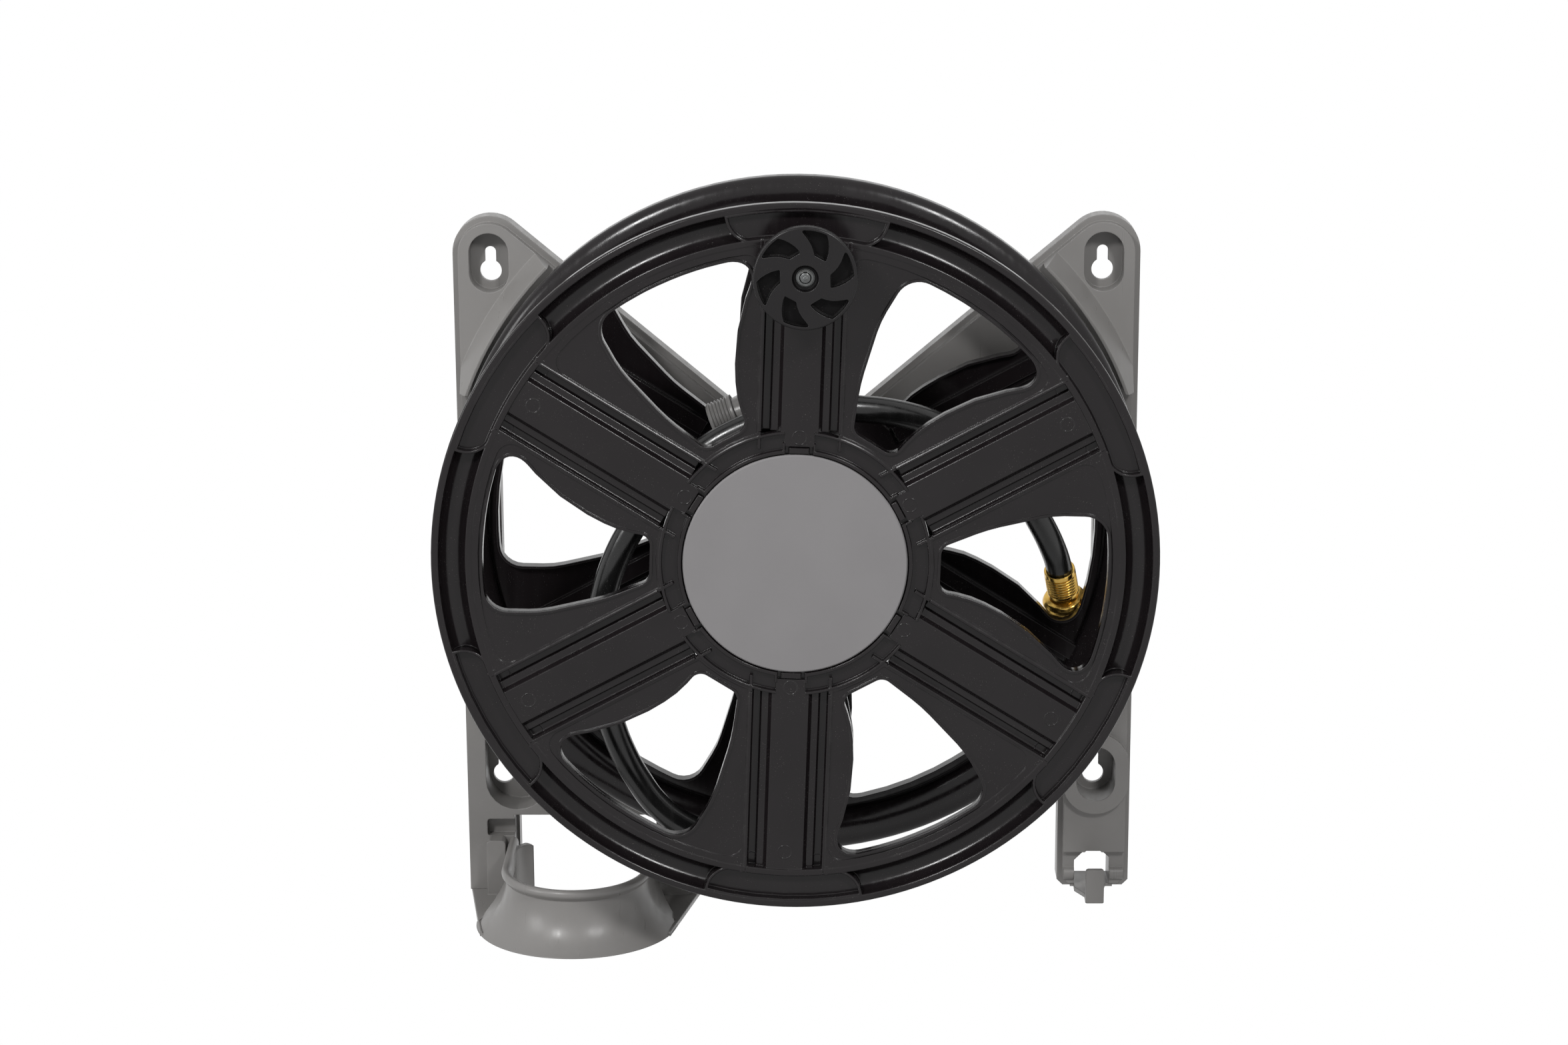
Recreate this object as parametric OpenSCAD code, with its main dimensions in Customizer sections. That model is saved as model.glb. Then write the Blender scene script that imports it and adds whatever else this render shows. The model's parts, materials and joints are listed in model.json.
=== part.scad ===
// Wall-mounted hose reel: a four-armed wall frame, a six-spoke drum that turns on a fixed
// axle, a crank knob, a leader hose with a swivel nut, and a hose guide under the drum.
// The wall is the plane y = 0, the reel stands out towards -y, and the drum turns about y.
// "Off the wall" below is a distance from the wall, and a flange's depth runs from its outer
// face towards the hose.

/* [Drum] */
// Outer radius of both flanges
flange_r = 229.5; // [200:0.5:260]
// Outer face of the rear flange, off the wall
rear_face = 56; // [56:1:64]
// Outer face of the front flange, off the wall
front_face = 176; // [176:1:200]
// Turn of the whole drum, so that the top spoke leans a little
drum_phase = -2.2; // [-10:0.1:10]
// Outer radius of the barrel that the hose winds on
barrel_r = 76; // [75:0.5:76.5]
// Wall of the barrel
barrel_wall = 3; // [2.5:0.1:4]
// Thickness of the moulded webs of the flanges
web_t = 2.8; // [2:0.1:4]

/* [Rim of a flange] */
// Width of the rim channel, from its inner ridge to its outer lip
channel_w = 16.4; // [12:0.2:20]
// Thickness of the outer lip of the rim
lip_t = 5; // [3:0.2:7]
// Depth of the rim channel
channel_depth = 11; // [8:0.5:14]
// Width of the inner ridge of the rim
ridge_w = 4.6; // [3:0.2:6]
// Radius of the corners of the rim's pockets
pocket_corner_r = 17; // [14:0.5:20]
// Depth of the flat floor of the pockets at the spokes
pocket_depth = 6; // [4:0.5:9]

/* [Spokes and windows] */
// Half width of a spoke over its side ridges
spoke_half = 26; // [24:0.5:28]
// Width of a thin moulded ridge
thin_ridge = 2; // [1.4:0.1:3]
// Depth of the two grooves of a spoke
groove_depth = 8; // [6:0.5:10]
// Half width of the flat band in the middle of a spoke
band_half = 11.5; // [9:0.5:13]
// How far the window panels lie below the ridges
panel_depth = 1.2; // [0.6:0.1:2]
// Radius of the outer edge of the windows
window_r = 197; // [190:0.5:200]
// Depth of the wall around a window
window_wall = 9; // [6:0.5:11]

/* [Hub and cap] */
// Radius of the hub cap
cap_r = 70.8; // [69:0.2:71]
// Thickness of the hub cap
cap_t = 3; // [2:0.2:4]
// Outer radius of the outer hub ring
hub_ring_r = 86; // [84:0.5:88]
// Radius of the opening in the back of the drum
hub_open_r = 52; // [48:1:54]
// Width of the notch that lets the leader hose into the drum
notch_w = 26; // [22:1:28]

/* [Axle and water way] */
// Radius of the axle where the drum runs on it
axle_r = 16; // [15:0.5:17]
// Radius of the thick root of the axle
axle_root_r = 22; // [20:0.5:24]
// Radius of the water way in the axle
water_r = 7; // [5:0.5:8]
// Radial running clearance of everything that turns
run_gap = 0.08; // [0.05:0.01:0.1]
// Outer radius of the two water rings on the axle
ring_r = 26; // [24:0.5:28]
// Length of the two water rings along the axle
ring_len = 20; // [18:0.5:20]

/* [Wall frame] */
// Spacing of the wall screws from side to side
stud_spacing = 406.4; // [400:0.2:412]
// Height of the upper wall screws above the axle
key_top = 158; // [154:1:160]
// Depth of the lower wall screws below the axle
key_bottom = 194; // [190:1:196]
// Width of the arms and rails
bar_w = 49; // [46:0.5:50]
// Width of the rails behind the drum, where the frame opens out beside the arms
slim_rail_w = 28; // [24:1:32]
// Height of the rounded ears above the axle
ear_z = 171; // [168:1:174]
// Bottom of the rails below the axle
rail_bottom = 272; // [270:1:276]
// Height of the base step of the arms and rails, off the wall
base_d = 15; // [12:0.5:17]
// Height of the raised face of the arms, off the wall
bar_d = 22; // [20:0.5:22]
// Height of the raised face of the lower left rail, off the wall
left_pad_d = 33; // [30:1:34]
// Height of the raised face of the lower right rail, off the wall
right_pad_d = 30; // [28:1:34]
// Inset of the raised faces
step_in = 4; // [3:0.2:5]
// Wall of the frame mouldings
frame_wall = 3; // [2.5:0.1:4]
// Radius of the wide end of a keyhole
key_r = 7.2; // [6.5:0.1:8]
// Half width of the slot of a keyhole
key_slot_r = 3.7; // [3:0.1:4]
// Rise of a keyhole's slot above its wide end
key_rise = 12.5; // [10:0.5:14]
// Height of the guards beside the drum, off the wall
guard_d = 40; // [32:1:44]
// Radial gap between the guards and the drum
guard_gap = 2; // [1.5:0.1:4]

/* [Hose guide] */
// Place of the guide's axis, left of the drum's axis
guide_x = 148; // [147:0.5:149]
// Distance of the guide's axis off the wall
guide_d = 90; // [86:1:94]
// Radius of the guide's throat
throat_r = 44; // [43:0.5:45]
// Radius of the guide's flare
flare_r = 68; // [67:0.5:69]
// Top of the guide below the drum's axis
throat_z = 232; // [231.6:0.2:234]
// Height of the guide
guide_h = 41; // [38:1:44]
// Wall of the guide
guide_wall = 3.4; // [3:0.1:4]

/* [Crank knob] */
// Distance of the knob's axis from the drum's axis
knob_at = 188.5; // [184:0.5:190]
// Radius of the knob
knob_r = 31.9; // [30:0.1:34]
// Front of the knob, off the wall
knob_front = 210; // [206:1:216]
// Thickness of the knob's disc
knob_disc_t = 8; // [7:0.5:10]
// Radius of the knob's stem
knob_stem_r = 15; // [13:0.5:17]
// Radius of the sleeve that the knob turns on
sleeve_r = 6; // [5:0.2:7]

/* [Leader hose and fittings] */
// Radius of the leader hose
hose_r = 8.75; // [8.5:0.05:9]
// Bore of the leader hose
hose_bore_r = 6.2; // [6:0.1:6.4]
// Outer radius of a crimped ferrule
ferrule_r = 10.6; // [10.2:0.1:11]
// Outer radius of the swivel nut
nut_r = 15; // [14.8:0.1:15.6]
// Radius of the thread in the swivel nut
nut_bore_r = 13; // [12.8:0.1:13.2]
// Length of the swivel nut
nut_len = 18.6; // [17:0.1:20]
// Crest radius of the drum's hose outlet
outlet_r = 13.4; // [13:0.1:13.6]
// Distance of the outlet's axis from the drum's axis
outlet_at = 92; // [92:0.5:93]
// Distance of the outlet off the wall
outlet_d = 118; // [117:0.5:118]

/* [Hidden] */
$fn = 72;

eps = 0.01;
spokes = 6;
spoke_step = 360 / spokes;
first_spoke = 90 + drum_phase;
spoke_angles = [for (k = [0 : spokes - 1]) first_spoke + k * spoke_step];

black = "#232123";
grey = "#807e7c";
pale = "#b9b7b2";
steel = "#b4b4b8";
brass = "#b8923f";
rubber = "#161616";

// Clearance between parts that are set into each other, and between bodies that turn
set_gap = 0.2;
body_gap = 0.3;

// Rim of a flange
lip_in_r = flange_r - lip_t;
ridge_out_r = lip_in_r - channel_w;
ridge_in_r = ridge_out_r - ridge_w;
bead_depth = channel_depth + 4;

// Hub of a flange, with depths from the flange's outer face
hub_floor = 4;
hub_disc = 8;
hub_wall = 2.5;
cap_ring_r = cap_r + 0.8;
bore_r = barrel_r - barrel_wall;
spigot_r = bore_r - set_gap;
spigot_wall = 2.4;
spigot_end = 18;
clip_w = 17.4;
disc_d = front_face - hub_disc;
rear_disc_d = rear_face + hub_disc;

// Screws that hold the flanges to the barrel
tie_r = 61;
tie_turn = 40;
tie_angles = [for (a = spoke_angles) a + tie_turn];
tie_boss_r = 5.5;
screw_r = 2.4;
pilot_r = 2.45;
clear_r = 2.7;
screw_head_r = 4.6;
screw_head_t = 2.6;
screw_len = 16;

// Places along the axle, off the wall
flange_t = 5;
axle_flange_r = 58;
axle_screw_at = 50;
inlet_d = 40;
ring_half = ring_len / 2;
root_end = inlet_d - ring_half - body_gap;
thrust_t = 1.5;
thrust_d = inlet_d + ring_half + 0.2;
rear_bush_d = thrust_d + thrust_t + body_gap;
bulkhead_d = 82;
bulkhead_end = bulkhead_d + barrel_wall;
bush_wall = 3;
bush_r = axle_r + run_gap + bush_wall;
bush_bore_r = bush_r + 0.05;
bush_boss_r = bush_r + bush_wall;
front_bush_len = 18;
washer_t = 1.5;
washer_d = disc_d + body_gap;
clip_d = washer_d + washer_t;
clip_t = 1.4;
clip_groove_r = axle_r - 1.4;
axle_end = clip_d + clip_t + 1.2;
port_r = 5;
seal_r = 1.5;
seal_in_r = axle_r + 0.03;
seal_at = 7;
gallery_half = 4;
gallery_r = axle_r + 3;

// Outlet of the drum
outlet_angle = 112;
stem_angle = 103;
stem_r = 8;
stem_start = 50;
stem_at = outlet_at / cos(outlet_angle - stem_angle);
stem_back = outlet_at * tan(outlet_angle - stem_angle);

// Inlet of the leader hose
inlet_angle = -78;
inlet_tilt = 22;
hose_start = 38;
barb_r = 5.8;
barb_len = 15;
inlet_ferrule_len = 13;
end_ferrule_len = 20;
notch_end = 100;
notch_d = 80;

// Wall frame
half_w = bar_w / 2;
ear_x = stud_spacing / 2;
hub_plate_r = 66;
seam = 0.2;
spigot_plate_r = 30;
ear_turn = atan2(ear_z, ear_x);
low_turn = atan2(key_bottom, ear_x);
key_floor = 8;
key_plate = 3.5;
cup_r = 13.1;
cup_half = 6.7;
cup_lift = 7.2;
guard_r = flange_r + guard_gap;
guard_foot = 11.5;
guard_foot_r = guard_r + guard_foot;
guard_low_z = 79;
pad_top_z = -60;
rail_out_x = ear_x + half_w;
rail_in_x = ear_x - half_w;
crossbar_z = 218;
crossbar_top_z = 196;
strip_x0 = 98;
strip_x1 = 66;
left_rail_in_x = 192.5;
left_cup = [[-213, -212, 20.5], [-171, -212, 20.5], [-171, -138, 20.5], [-213, -138, 20.5]];
guide_back_d = left_pad_d;
guide_box_d = 44;
guide_screw_x = [-206.5, -82];
guide_screw_z = -246;
guide_box_z0 = -271;
guide_box_z1 = -231;
left_box_x = [-213, -200];
right_box_x = [-102, -74];
right_box_z1 = -236;
// Bottom sheets of the guide: half widths at the wall side and at the knee of the flare
sheet_t = 3;
sheet_knee_d = 114;
left_sheet_half = 79.5;
right_sheet_half = 85;
pocket_end_d = 39;
guide_recess = [[-213, -231, 2], [-190, -231, 0], [-190, -219, 0], [-213, -219, 2]];
guide_recess_deep = 8;
// Bay that each triangle of the frame has beside its rail, hidden behind the drum
bay_x = rail_out_x - slim_rail_w;
bay_in_x = 165;
bay_z0 = -110;
bay_z1 = 104;
bay = [[-bay_x, bay_z0, 12], [-bay_in_x, bay_z0, 0], [-bay_in_x, bay_z1, 0], [-bay_x, bay_z1, 12]];

// Bottom of the right rail, with the hook for the end of the stored hose
hook_step_z = 244.5;
hook_x0 = 190;
hook_x1 = 214;
hook_tongue_x0 = 196;
hook_tongue_x1 = 208.4;
hook_d = 56;
hook_t = 3.4;
hook_top_z = 248;

// Crank knob
knob_boss_d = front_face + 3;
knob_boss_r = 13;
knob_stop_d = knob_front - 6;
knob_flange_t = 1.5;
knob_recess_r = 8.3;

// Route of the leader hose as [across, off the wall, up], from its inlet to its brass end
hose_route = [
  [7.9, 40, -37.2], [10.8, 45.7, -50.9], [13.6, 52.7, -63.9], [16, 62.2, -75.2],
  [19.4, 76.8, -91.3], [21.9, 83.7, -103.1], [26.6, 90.2, -123.6], [28.6, 93.5, -144],
  [22.1, 97, -166.8], [6.5, 100.5, -187.5], [-15.7, 104, -200.9], [-41.4, 107.5, -205],
  [-62.3, 110.5, -200.9], [-77.5, 113, -193], [-92.6, 116, -178.9], [-104, 119.5, -161],
  [-113, 123, -142], [-120, 126.5, -121], [-125, 130, -97], [-127.3, 133, -72],
  [-126.3, 136, -49], [-122, 138, -27], [-115, 140, -6], [-103, 142, 17], [-84, 143, 43],
  [-61, 143, 63.5], [-35, 142, 79], [-6, 141, 88.5], [23, 138, 91.5], [45, 133.5, 90.5],
  [67, 127, 86], [89, 118.5, 77.5], [110, 108.5, 64], [130, 97.5, 46], [147, 86.5, 25],
  [160, 75.2, 1.8], [168.6, 65, -16.9], [174.4, 53.6, -34.7], [178.2, 44.5, -54.4]
];
last = len(hose_route) - 1;
brass_dir = unit(hose_route[last] - hose_route[last - 1]);
hose_sides = 12;

// ---------------------------------------------------------------- helpers

function unit(v) = v / norm(v);

function wrap(a) = a > 180 ? a - 360 : a < -180 ? a + 360 : a;

// Points of an elliptic arc about a centre, from one angle to another
function arc(c, rx, ry, a0, a1, n) =
  [for (i = [0 : n]) let (a = a0 + (a1 - a0) * i / n) c + [rx * cos(a), ry * sin(a)]];

// The rounded corner at q, between p and s
function fillet(p, q, s, r) =
  r == 0 ? [q] :
  let (
    u = unit(p - q),
    w = unit(s - q),
    half = acos(u * w) / 2,
    c = q + unit(u + w) * r / sin(half),
    a = q + u * r / tan(half) - c,
    b = q + w * r / tan(half) - c,
    a0 = atan2(a[1], a[0]),
    turn = wrap(atan2(b[1], b[0]) - a0),
    n = max(2, ceil(abs(turn) / 15))
  )
  [for (i = [0 : n]) c + r * [cos(a0 + turn * i / n), sin(a0 + turn * i / n)]];

function flat2(v) = [v[0], v[1]];

// A closed outline from corners given as [x, y, corner radius]
function rounded(v) =
  let (n = len(v))
  [for (i = [0 : n - 1])
    each fillet(flat2(v[(i + n - 1) % n]), flat2(v[i]), flat2(v[(i + 1) % n]), v[i][2])];

// A counter-clockwise outline moved outwards
function grown(v, by) =
  let (n = len(v))
  [for (i = [0 : n - 1])
    let (
      a = unit(v[i] - v[(i + n - 1) % n]),
      b = unit(v[(i + 1) % n] - v[i]),
      m = unit(a + b)
    )
    v[i] + by * [m[1], -m[0]]];

// Draws an outline seen from the front, between two distances off the wall
module slab(d0, d1)
  translate([0, -d0, 0])
    rotate([90, 0, 0])
      linear_extrude(d1 - d0)
        children();

// Draws an outline between two depths below a flange's outer face
module deep(t0, t1)
  slab(-t1, -t0)
    children();

// Revolves a profile of [radius, distance off the wall] about the drum's axis
module turned()
  rotate([90, 0, 0])
    rotate_extrude()
      children();

// A round bar along the drum's axis
module rod(r, d0, d1)
  translate([0, -d0, 0])
    rotate([90, 0, 0])
      cylinder(r = r, h = d1 - d0);

module tube(r_out, r_in, d0, d1)
  difference() {
    rod(r_out, d0, d1);
    rod(r_in, d0 - 1, d1 + 1);
  }

// Turns its children about the drum's axis, counter-clockwise seen from the front
module swing(a)
  rotate([0, -a, 0])
    children();

module on_circle(r, angles)
  for (a = angles)
    swing(a)
      translate([r, 0, 0])
        children();

// Puts a part that is drawn along +z at a place, pointing along a direction
module along(p, dir)
  translate([p[0], -p[1], p[2]])
    rotate([0, acos(dir[2]), atan2(-dir[1], dir[0])])
      children();

// A pan-head screw with its head towards the front
module screw(d_seat, length)
  difference() {
    turned()
      polygon([
        [0, d_seat - length], [screw_r, d_seat - length + 1], [screw_r, d_seat],
        [screw_head_r, d_seat], [screw_head_r, d_seat + screw_head_t * 0.5],
        [screw_head_r * 0.65, d_seat + screw_head_t], [0, d_seat + screw_head_t]
      ]);
    translate([-screw_head_r * 0.5, -d_seat - screw_head_t - 1, -0.5])
      cube([screw_head_r, 1 + screw_head_t * 0.6, 1]);
    translate([-0.5, -d_seat - screw_head_t - 1, -screw_head_r * 0.5])
      cube([1, 1 + screw_head_t * 0.6, screw_head_r]);
  }

// The same screw with its head towards the wall
module rear_screw(d_seat, length)
  mirror([0, 1, 0])
    screw(-d_seat, length);

// ---------------------------------------------------------------- flanges

// The rim channel: its profile goes from the outer face towards the hose
module rim_section() {
  mid = (ridge_in_r + flange_r) / 2;
  out_half = (flange_r - ridge_in_r) / 2;
  in_mid = (ridge_out_r + lip_in_r) / 2;
  polygon(concat(
    arc([flange_r - 1, -1], 1, 1, 90, 0, 3),
    arc([mid, -bead_depth / 2], out_half, bead_depth / 2, 0, -180, 14),
    [[ridge_in_r, 0], [ridge_out_r, 0]],
    arc([in_mid, -channel_depth / 2], channel_w / 2, channel_depth / 2, -180, 0, 12),
    [[lip_in_r, 0]]
  ));
}

// Corners of a window: along the spoke-free middle line, across, and corner radius
window_corners = concat(
  [[91.5, -15, 7], [112, -18, 60], [150, -37, 110], [182.6, -73.4, 12]],
  [for (a = [-15 : 5 : 0]) [window_r * cos(a), window_r * sin(a), 0]],
  [[window_r * cos(4), window_r * sin(4), 0]],
  [[window_r - 2.5, 38, 15], [160, 37.5, 60], [120, 27, 100], [91.5, 14.5, 7]]
);
window_path = rounded(window_corners);

module windows(by)
  for (k = [0 : spokes - 1])
    rotate(drum_phase + k * spoke_step)
      polygon(grown(window_path, by));

module spoke_strips(half)
  for (a = spoke_angles)
    rotate(a)
      translate([hub_ring_r - 2, -half])
        square([ridge_in_r - hub_ring_r + 4, 2 * half]);

// The sheet between the spokes
module panels()
  deep(panel_depth, panel_depth + web_t)
    difference() {
      circle(ridge_in_r + 1);
      circle(hub_ring_r - 1);
      spoke_strips(spoke_half - thin_ridge / 2);
      windows(0);
    }

module window_walls()
  deep(0, window_wall)
    difference() {
      windows(thin_ridge * 0.8);
      windows(0);
    }

// One spoke: two thin side ridges, two deep grooves, two shoulders and a raised flat band
module spoke() {
  shoulder = 4.5;
  shoulder_half = 18.5;
  shoulder_in = 14;
  low = web_t * 0.9;
  in = spoke_half - thin_ridge;
  half = [
    [0, spoke_half], [0, in], [groove_depth, in], [groove_depth, shoulder_half],
    [shoulder, shoulder_half], [shoulder, shoulder_in], [panel_depth, band_half]
  ];
  under = [
    [panel_depth + low, band_half - 1], [shoulder + low, shoulder_in - 1.5],
    [shoulder + low, shoulder_half - low], [groove_depth + low, shoulder_half - low],
    [groove_depth + low, spoke_half]
  ];
  n = len(half);
  m = len(under);
  translate([hub_ring_r - 1, 0, 0])
    rotate([90, 0, 90])
      linear_extrude(ridge_in_r - hub_ring_r + 3)
        polygon(concat(
          half,
          [for (i = [n - 1 : -1 : 0]) [half[i][0], -half[i][1]]],
          [for (i = [m - 1 : -1 : 0]) [under[i][0], -under[i][1]]],
          under
        ));
}

// The pocket in the rim channel at the end of a spoke, with its curved ribs
module rim_pocket_plan(inset) {
  side = 13.1 - pocket_corner_r / lip_in_r * 180 / PI;
  r = pocket_corner_r - inset;
  intersection() {
    circle(lip_in_r + 1);
    union() {
      for (s = [-1, 1])
        rotate(s * side)
          translate([lip_in_r, 0])
            circle(r);
      difference() {
        polygon([[0, 0], 300 * [cos(side), -sin(side)], 300 * [cos(side), sin(side)]]);
        circle(lip_in_r - r);
      }
    }
  }
}

module rim_pockets()
  for (a = spoke_angles) {
    deep(0, channel_depth)
      rotate(a)
        difference() {
          rim_pocket_plan(0);
          rim_pocket_plan(thin_ridge);
        }
    deep(pocket_depth, channel_depth)
      rotate(a)
        rim_pocket_plan(thin_ridge / 2);
  }

module hub_rings() {
  deep(0, hub_floor + web_t)
    difference() {
      circle(hub_ring_r);
      circle(hub_ring_r - thin_ridge);
    }
  deep(hub_floor, hub_floor + web_t)
    difference() {
      circle(hub_ring_r - 1);
      circle(spigot_r - spigot_wall);
    }
  deep(0, hub_floor + 1)
    difference() {
      circle(cap_ring_r + hub_wall);
      circle(cap_ring_r);
    }
  deep(hub_floor, spigot_end)
    difference() {
      circle(spigot_r);
      circle(spigot_r - spigot_wall);
    }
  for (a = spoke_angles)
    for (s = [-1, 1])
      swing(a)
        translate([cap_ring_r + 1, 0, s * (spoke_half - thin_ridge / 2) - thin_ridge / 2])
          cube([hub_ring_r - cap_ring_r - 3, hub_floor + 1, thin_ridge]);
}

// What both flanges share
module flange_body() {
  turned()
    rim_section();
  panels();
  window_walls();
  for (a = spoke_angles)
    swing(a)
      spoke();
  rim_pockets();
  hub_rings();
}

// Snap tabs over the edge of the hub cap
module cap_tabs()
  for (a = spoke_angles)
    swing(a)
      translate([cap_ring_r + 1, -front_face + 0.6, -clip_w / 4])
        cube([hub_wall + 2, hub_floor + 1, clip_w / 2]);

module cap_notches()
  for (a = spoke_angles)
    swing(a)
      translate([cap_ring_r - 1, -front_face - 1, -clip_w / 2])
        cube([hub_wall + 2, 1 + hub_floor, clip_w]);

module front_flange()
  color(black) {
    difference() {
      union() {
        translate([0, -front_face, 0])
          flange_body();
        rod(spigot_r - 1, disc_d - web_t, disc_d);
        rod(bush_boss_r, disc_d - front_bush_len, disc_d);
        on_circle(knob_at, [first_spoke])
          rod(knob_boss_r, disc_d - 2, knob_boss_d);
      }
      rod(bush_bore_r, disc_d - front_bush_len - 1, disc_d + 1);
      on_circle(tie_r, tie_angles)
        rod(clear_r, disc_d - web_t - 1, disc_d + 1);
      cap_notches();
      on_circle(knob_at, [first_spoke])
        rod(pilot_r, disc_d - 3, knob_boss_d + 1);
    }
    cap_tabs();
  }

module rear_flange()
  color(black)
    difference() {
      union() {
        translate([0, -rear_face, 0])
          mirror([0, 1, 0])
            flange_body();
        tube(spigot_r - 1, hub_open_r, rear_disc_d, rear_disc_d + web_t);
      }
      on_circle(tie_r, tie_angles)
        rod(clear_r, rear_disc_d - 1, rear_disc_d + web_t + 1);
      swing(inlet_angle)
        translate([hub_open_r - 12, -rear_face - 20, -notch_w / 2])
          cube([notch_end - hub_open_r + 12, 21, notch_w]);
    }

module barrel() {
  d0 = rear_face + hub_floor + web_t;
  d1 = front_face - hub_floor - web_t;
  boss0 = rear_disc_d + web_t;
  boss1 = disc_d - web_t;
  rib0 = rear_face + spigot_end + 2;
  rib1 = front_face - spigot_end - 2;
  color(black)
    difference() {
      union() {
        tube(barrel_r, bore_r, d0, d1);
        rod(bore_r + 1, bulkhead_d, bulkhead_end);
        rod(bush_boss_r, rear_bush_d, bulkhead_end);
        for (a = tie_angles)
          swing(a) {
            translate([tie_r, 0, 0])
              rod(tie_boss_r, boss0, boss1);
            translate([tie_r, -rib1, -1.2])
              cube([bore_r - tie_r + 1, rib1 - rib0, 2.4]);
          }
        // Low scoop that leads the first turn of hose from the outlet on to the barrel
        swing(outlet_angle + 24)
          translate([barrel_r - 1, -outlet_d - 12, -14])
            cube([4, 24, 22]);
      }
      rod(bush_bore_r, rear_bush_d - 1, bulkhead_end + 1);
      on_circle(tie_r, tie_angles) {
        rod(pilot_r, boss0 - 1, boss0 + screw_len);
        rod(pilot_r, boss1 - screw_len, boss1 + 1);
      }
      swing(stem_angle)
        translate([tie_r, -outlet_d, 0])
          rotate([0, 90, 0])
            cylinder(r = stem_r + set_gap, h = 30);
      swing(inlet_angle)
        translate([hub_open_r - 2, -notch_d, -notch_w / 2])
          cube([barrel_r - hub_open_r + 10, notch_d, notch_w]);
    }
}

module bush(d0, d1)
  color(pale)
    tube(bush_r, axle_r + run_gap, d0, d1);

module rear_bush()
  bush(rear_bush_d, bulkhead_end);

module front_bush()
  bush(disc_d - front_bush_len, disc_d);

module hub_cap()
  color(grey)
    turned()
      polygon([
        [0, front_face - cap_t], [cap_r - 4, front_face - cap_t], [cap_r - 4, disc_d],
        [cap_r - 2, disc_d], [cap_r - 2, front_face - cap_t], [cap_r, front_face - cap_t],
        [cap_r, front_face - 0.8], [cap_r - 0.8, front_face], [0, front_face]
      ]);

module front_drum_screws()
  color(steel)
    on_circle(tie_r, tie_angles)
      screw(disc_d, screw_len);

module rear_drum_screws()
  color(steel)
    on_circle(tie_r, tie_angles)
      rear_screw(rear_disc_d, screw_len);

// ---------------------------------------------------------------- axle and water way

module axle()
  color(grey)
    difference() {
      union() {
        rod(axle_flange_r, base_d, base_d + flange_t);
        rod(axle_root_r, base_d, root_end);
        rod(axle_r, base_d, axle_end);
      }
      rod(water_r, inlet_d - 2 * port_r, outlet_d + 2 * port_r);
      for (d = [inlet_d, outlet_d])
        translate([-axle_r - 1, -d, 0])
          rotate([0, 90, 0])
            cylinder(r = port_r, h = 2 * axle_r + 2);
      tube(axle_r + 1, clip_groove_r, clip_d, clip_d + clip_t);
      on_circle(axle_screw_at, spoke_angles)
        rod(clear_r, base_d - 1, base_d + flange_t + 1);
    }

module axle_screws()
  color(steel)
    on_circle(axle_screw_at, spoke_angles)
      screw(base_d + flange_t, flange_t + 8);

module axle_washer()
  color(steel)
    tube(axle_r + 7, axle_r + 0.1, washer_d, clip_d);

module axle_clip()
  color(steel)
    difference() {
      tube(axle_r + 3.5, clip_groove_r, clip_d, clip_d + clip_t);
      translate([-axle_r * 0.6, -clip_d - clip_t - 1, -2 * axle_r])
        cube([axle_r * 1.2, clip_t + 2, 2 * axle_r]);
    }

// A ring that takes water from a port of the axle: bore, gallery and two seal grooves
module water_ring_bore(d) {
  rod(axle_r + run_gap, d - ring_half - 1, d + ring_half + 1);
  rod(gallery_r, d - gallery_half, d + gallery_half);
  for (s = [-1, 1])
    rod(seal_in_r + 2 * seal_r, d + s * seal_at - seal_r, d + s * seal_at + seal_r);
}

module ring_seals(d)
  color(rubber)
    for (s = [-1, 1])
      turned()
        translate([seal_in_r + seal_r, d + s * seal_at])
          circle(seal_r, $fn = 24);

module water_ring() {
  color(pale)
    difference() {
      union() {
        rod(ring_r, outlet_d - ring_half, outlet_d + ring_half);
        swing(stem_angle)
          translate([axle_r + 4, -outlet_d, 0])
            rotate([0, 90, 0])
              cylinder(r = stem_r + 3, h = tie_r - axle_r);
      }
      water_ring_bore(outlet_d);
      swing(stem_angle)
        translate([stem_start, -outlet_d, 0])
          rotate([0, 90, 0])
            cylinder(r = stem_r + 0.05, h = tie_r);
      swing(stem_angle)
        translate([axle_r - 4, -outlet_d, 0])
          rotate([0, 90, 0])
            cylinder(r = port_r, h = stem_start);
    }
}

module water_ring_seals()
  ring_seals(outlet_d);

// A grey elbow with a garden-hose thread that lies along the barrel
module outlet_elbow() {
  thread_start = 5;
  pitch = 2.2;
  mouth = 20;
  body_r = 10.5;
  color(grey)
    difference() {
      union() {
        swing(stem_angle)
          translate([stem_start, -outlet_d, 0])
            rotate([0, 90, 0])
              cylinder(r = stem_r, h = stem_at - stem_start);
        swing(stem_angle)
          translate([stem_at, -outlet_d, 0])
            sphere(body_r + 0.5);
        swing(outlet_angle)
          translate([outlet_at, -outlet_d, -stem_back])
            cylinder(r = body_r, h = stem_back + thread_start);
        swing(outlet_angle)
          translate([outlet_at, -outlet_d, thread_start - 2])
            rotate_extrude()
              polygon(concat(
                [[0, 0], [outlet_r, 0], [outlet_r, 2]],
                [for (i = [0 : 5])
                  each [
                    [outlet_r - 1.3, 2.4 + i * pitch], [outlet_r - 1.3, 3 + i * pitch],
                    [outlet_r, 3.7 + i * pitch], [outlet_r, 4.1 + i * pitch]
                  ]],
                [[outlet_r - 1.6, mouth - thread_start + 2], [0, mouth - thread_start + 2]]
              ));
      }
      swing(outlet_angle)
        translate([outlet_at, -outlet_d, -stem_back])
          cylinder(r = port_r + 2.5, h = stem_back + mouth + 1);
      swing(stem_angle)
        translate([stem_start - 1, -outlet_d, 0])
          rotate([0, 90, 0])
            cylinder(r = port_r, h = stem_at - stem_start + 1);
    }
}

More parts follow.
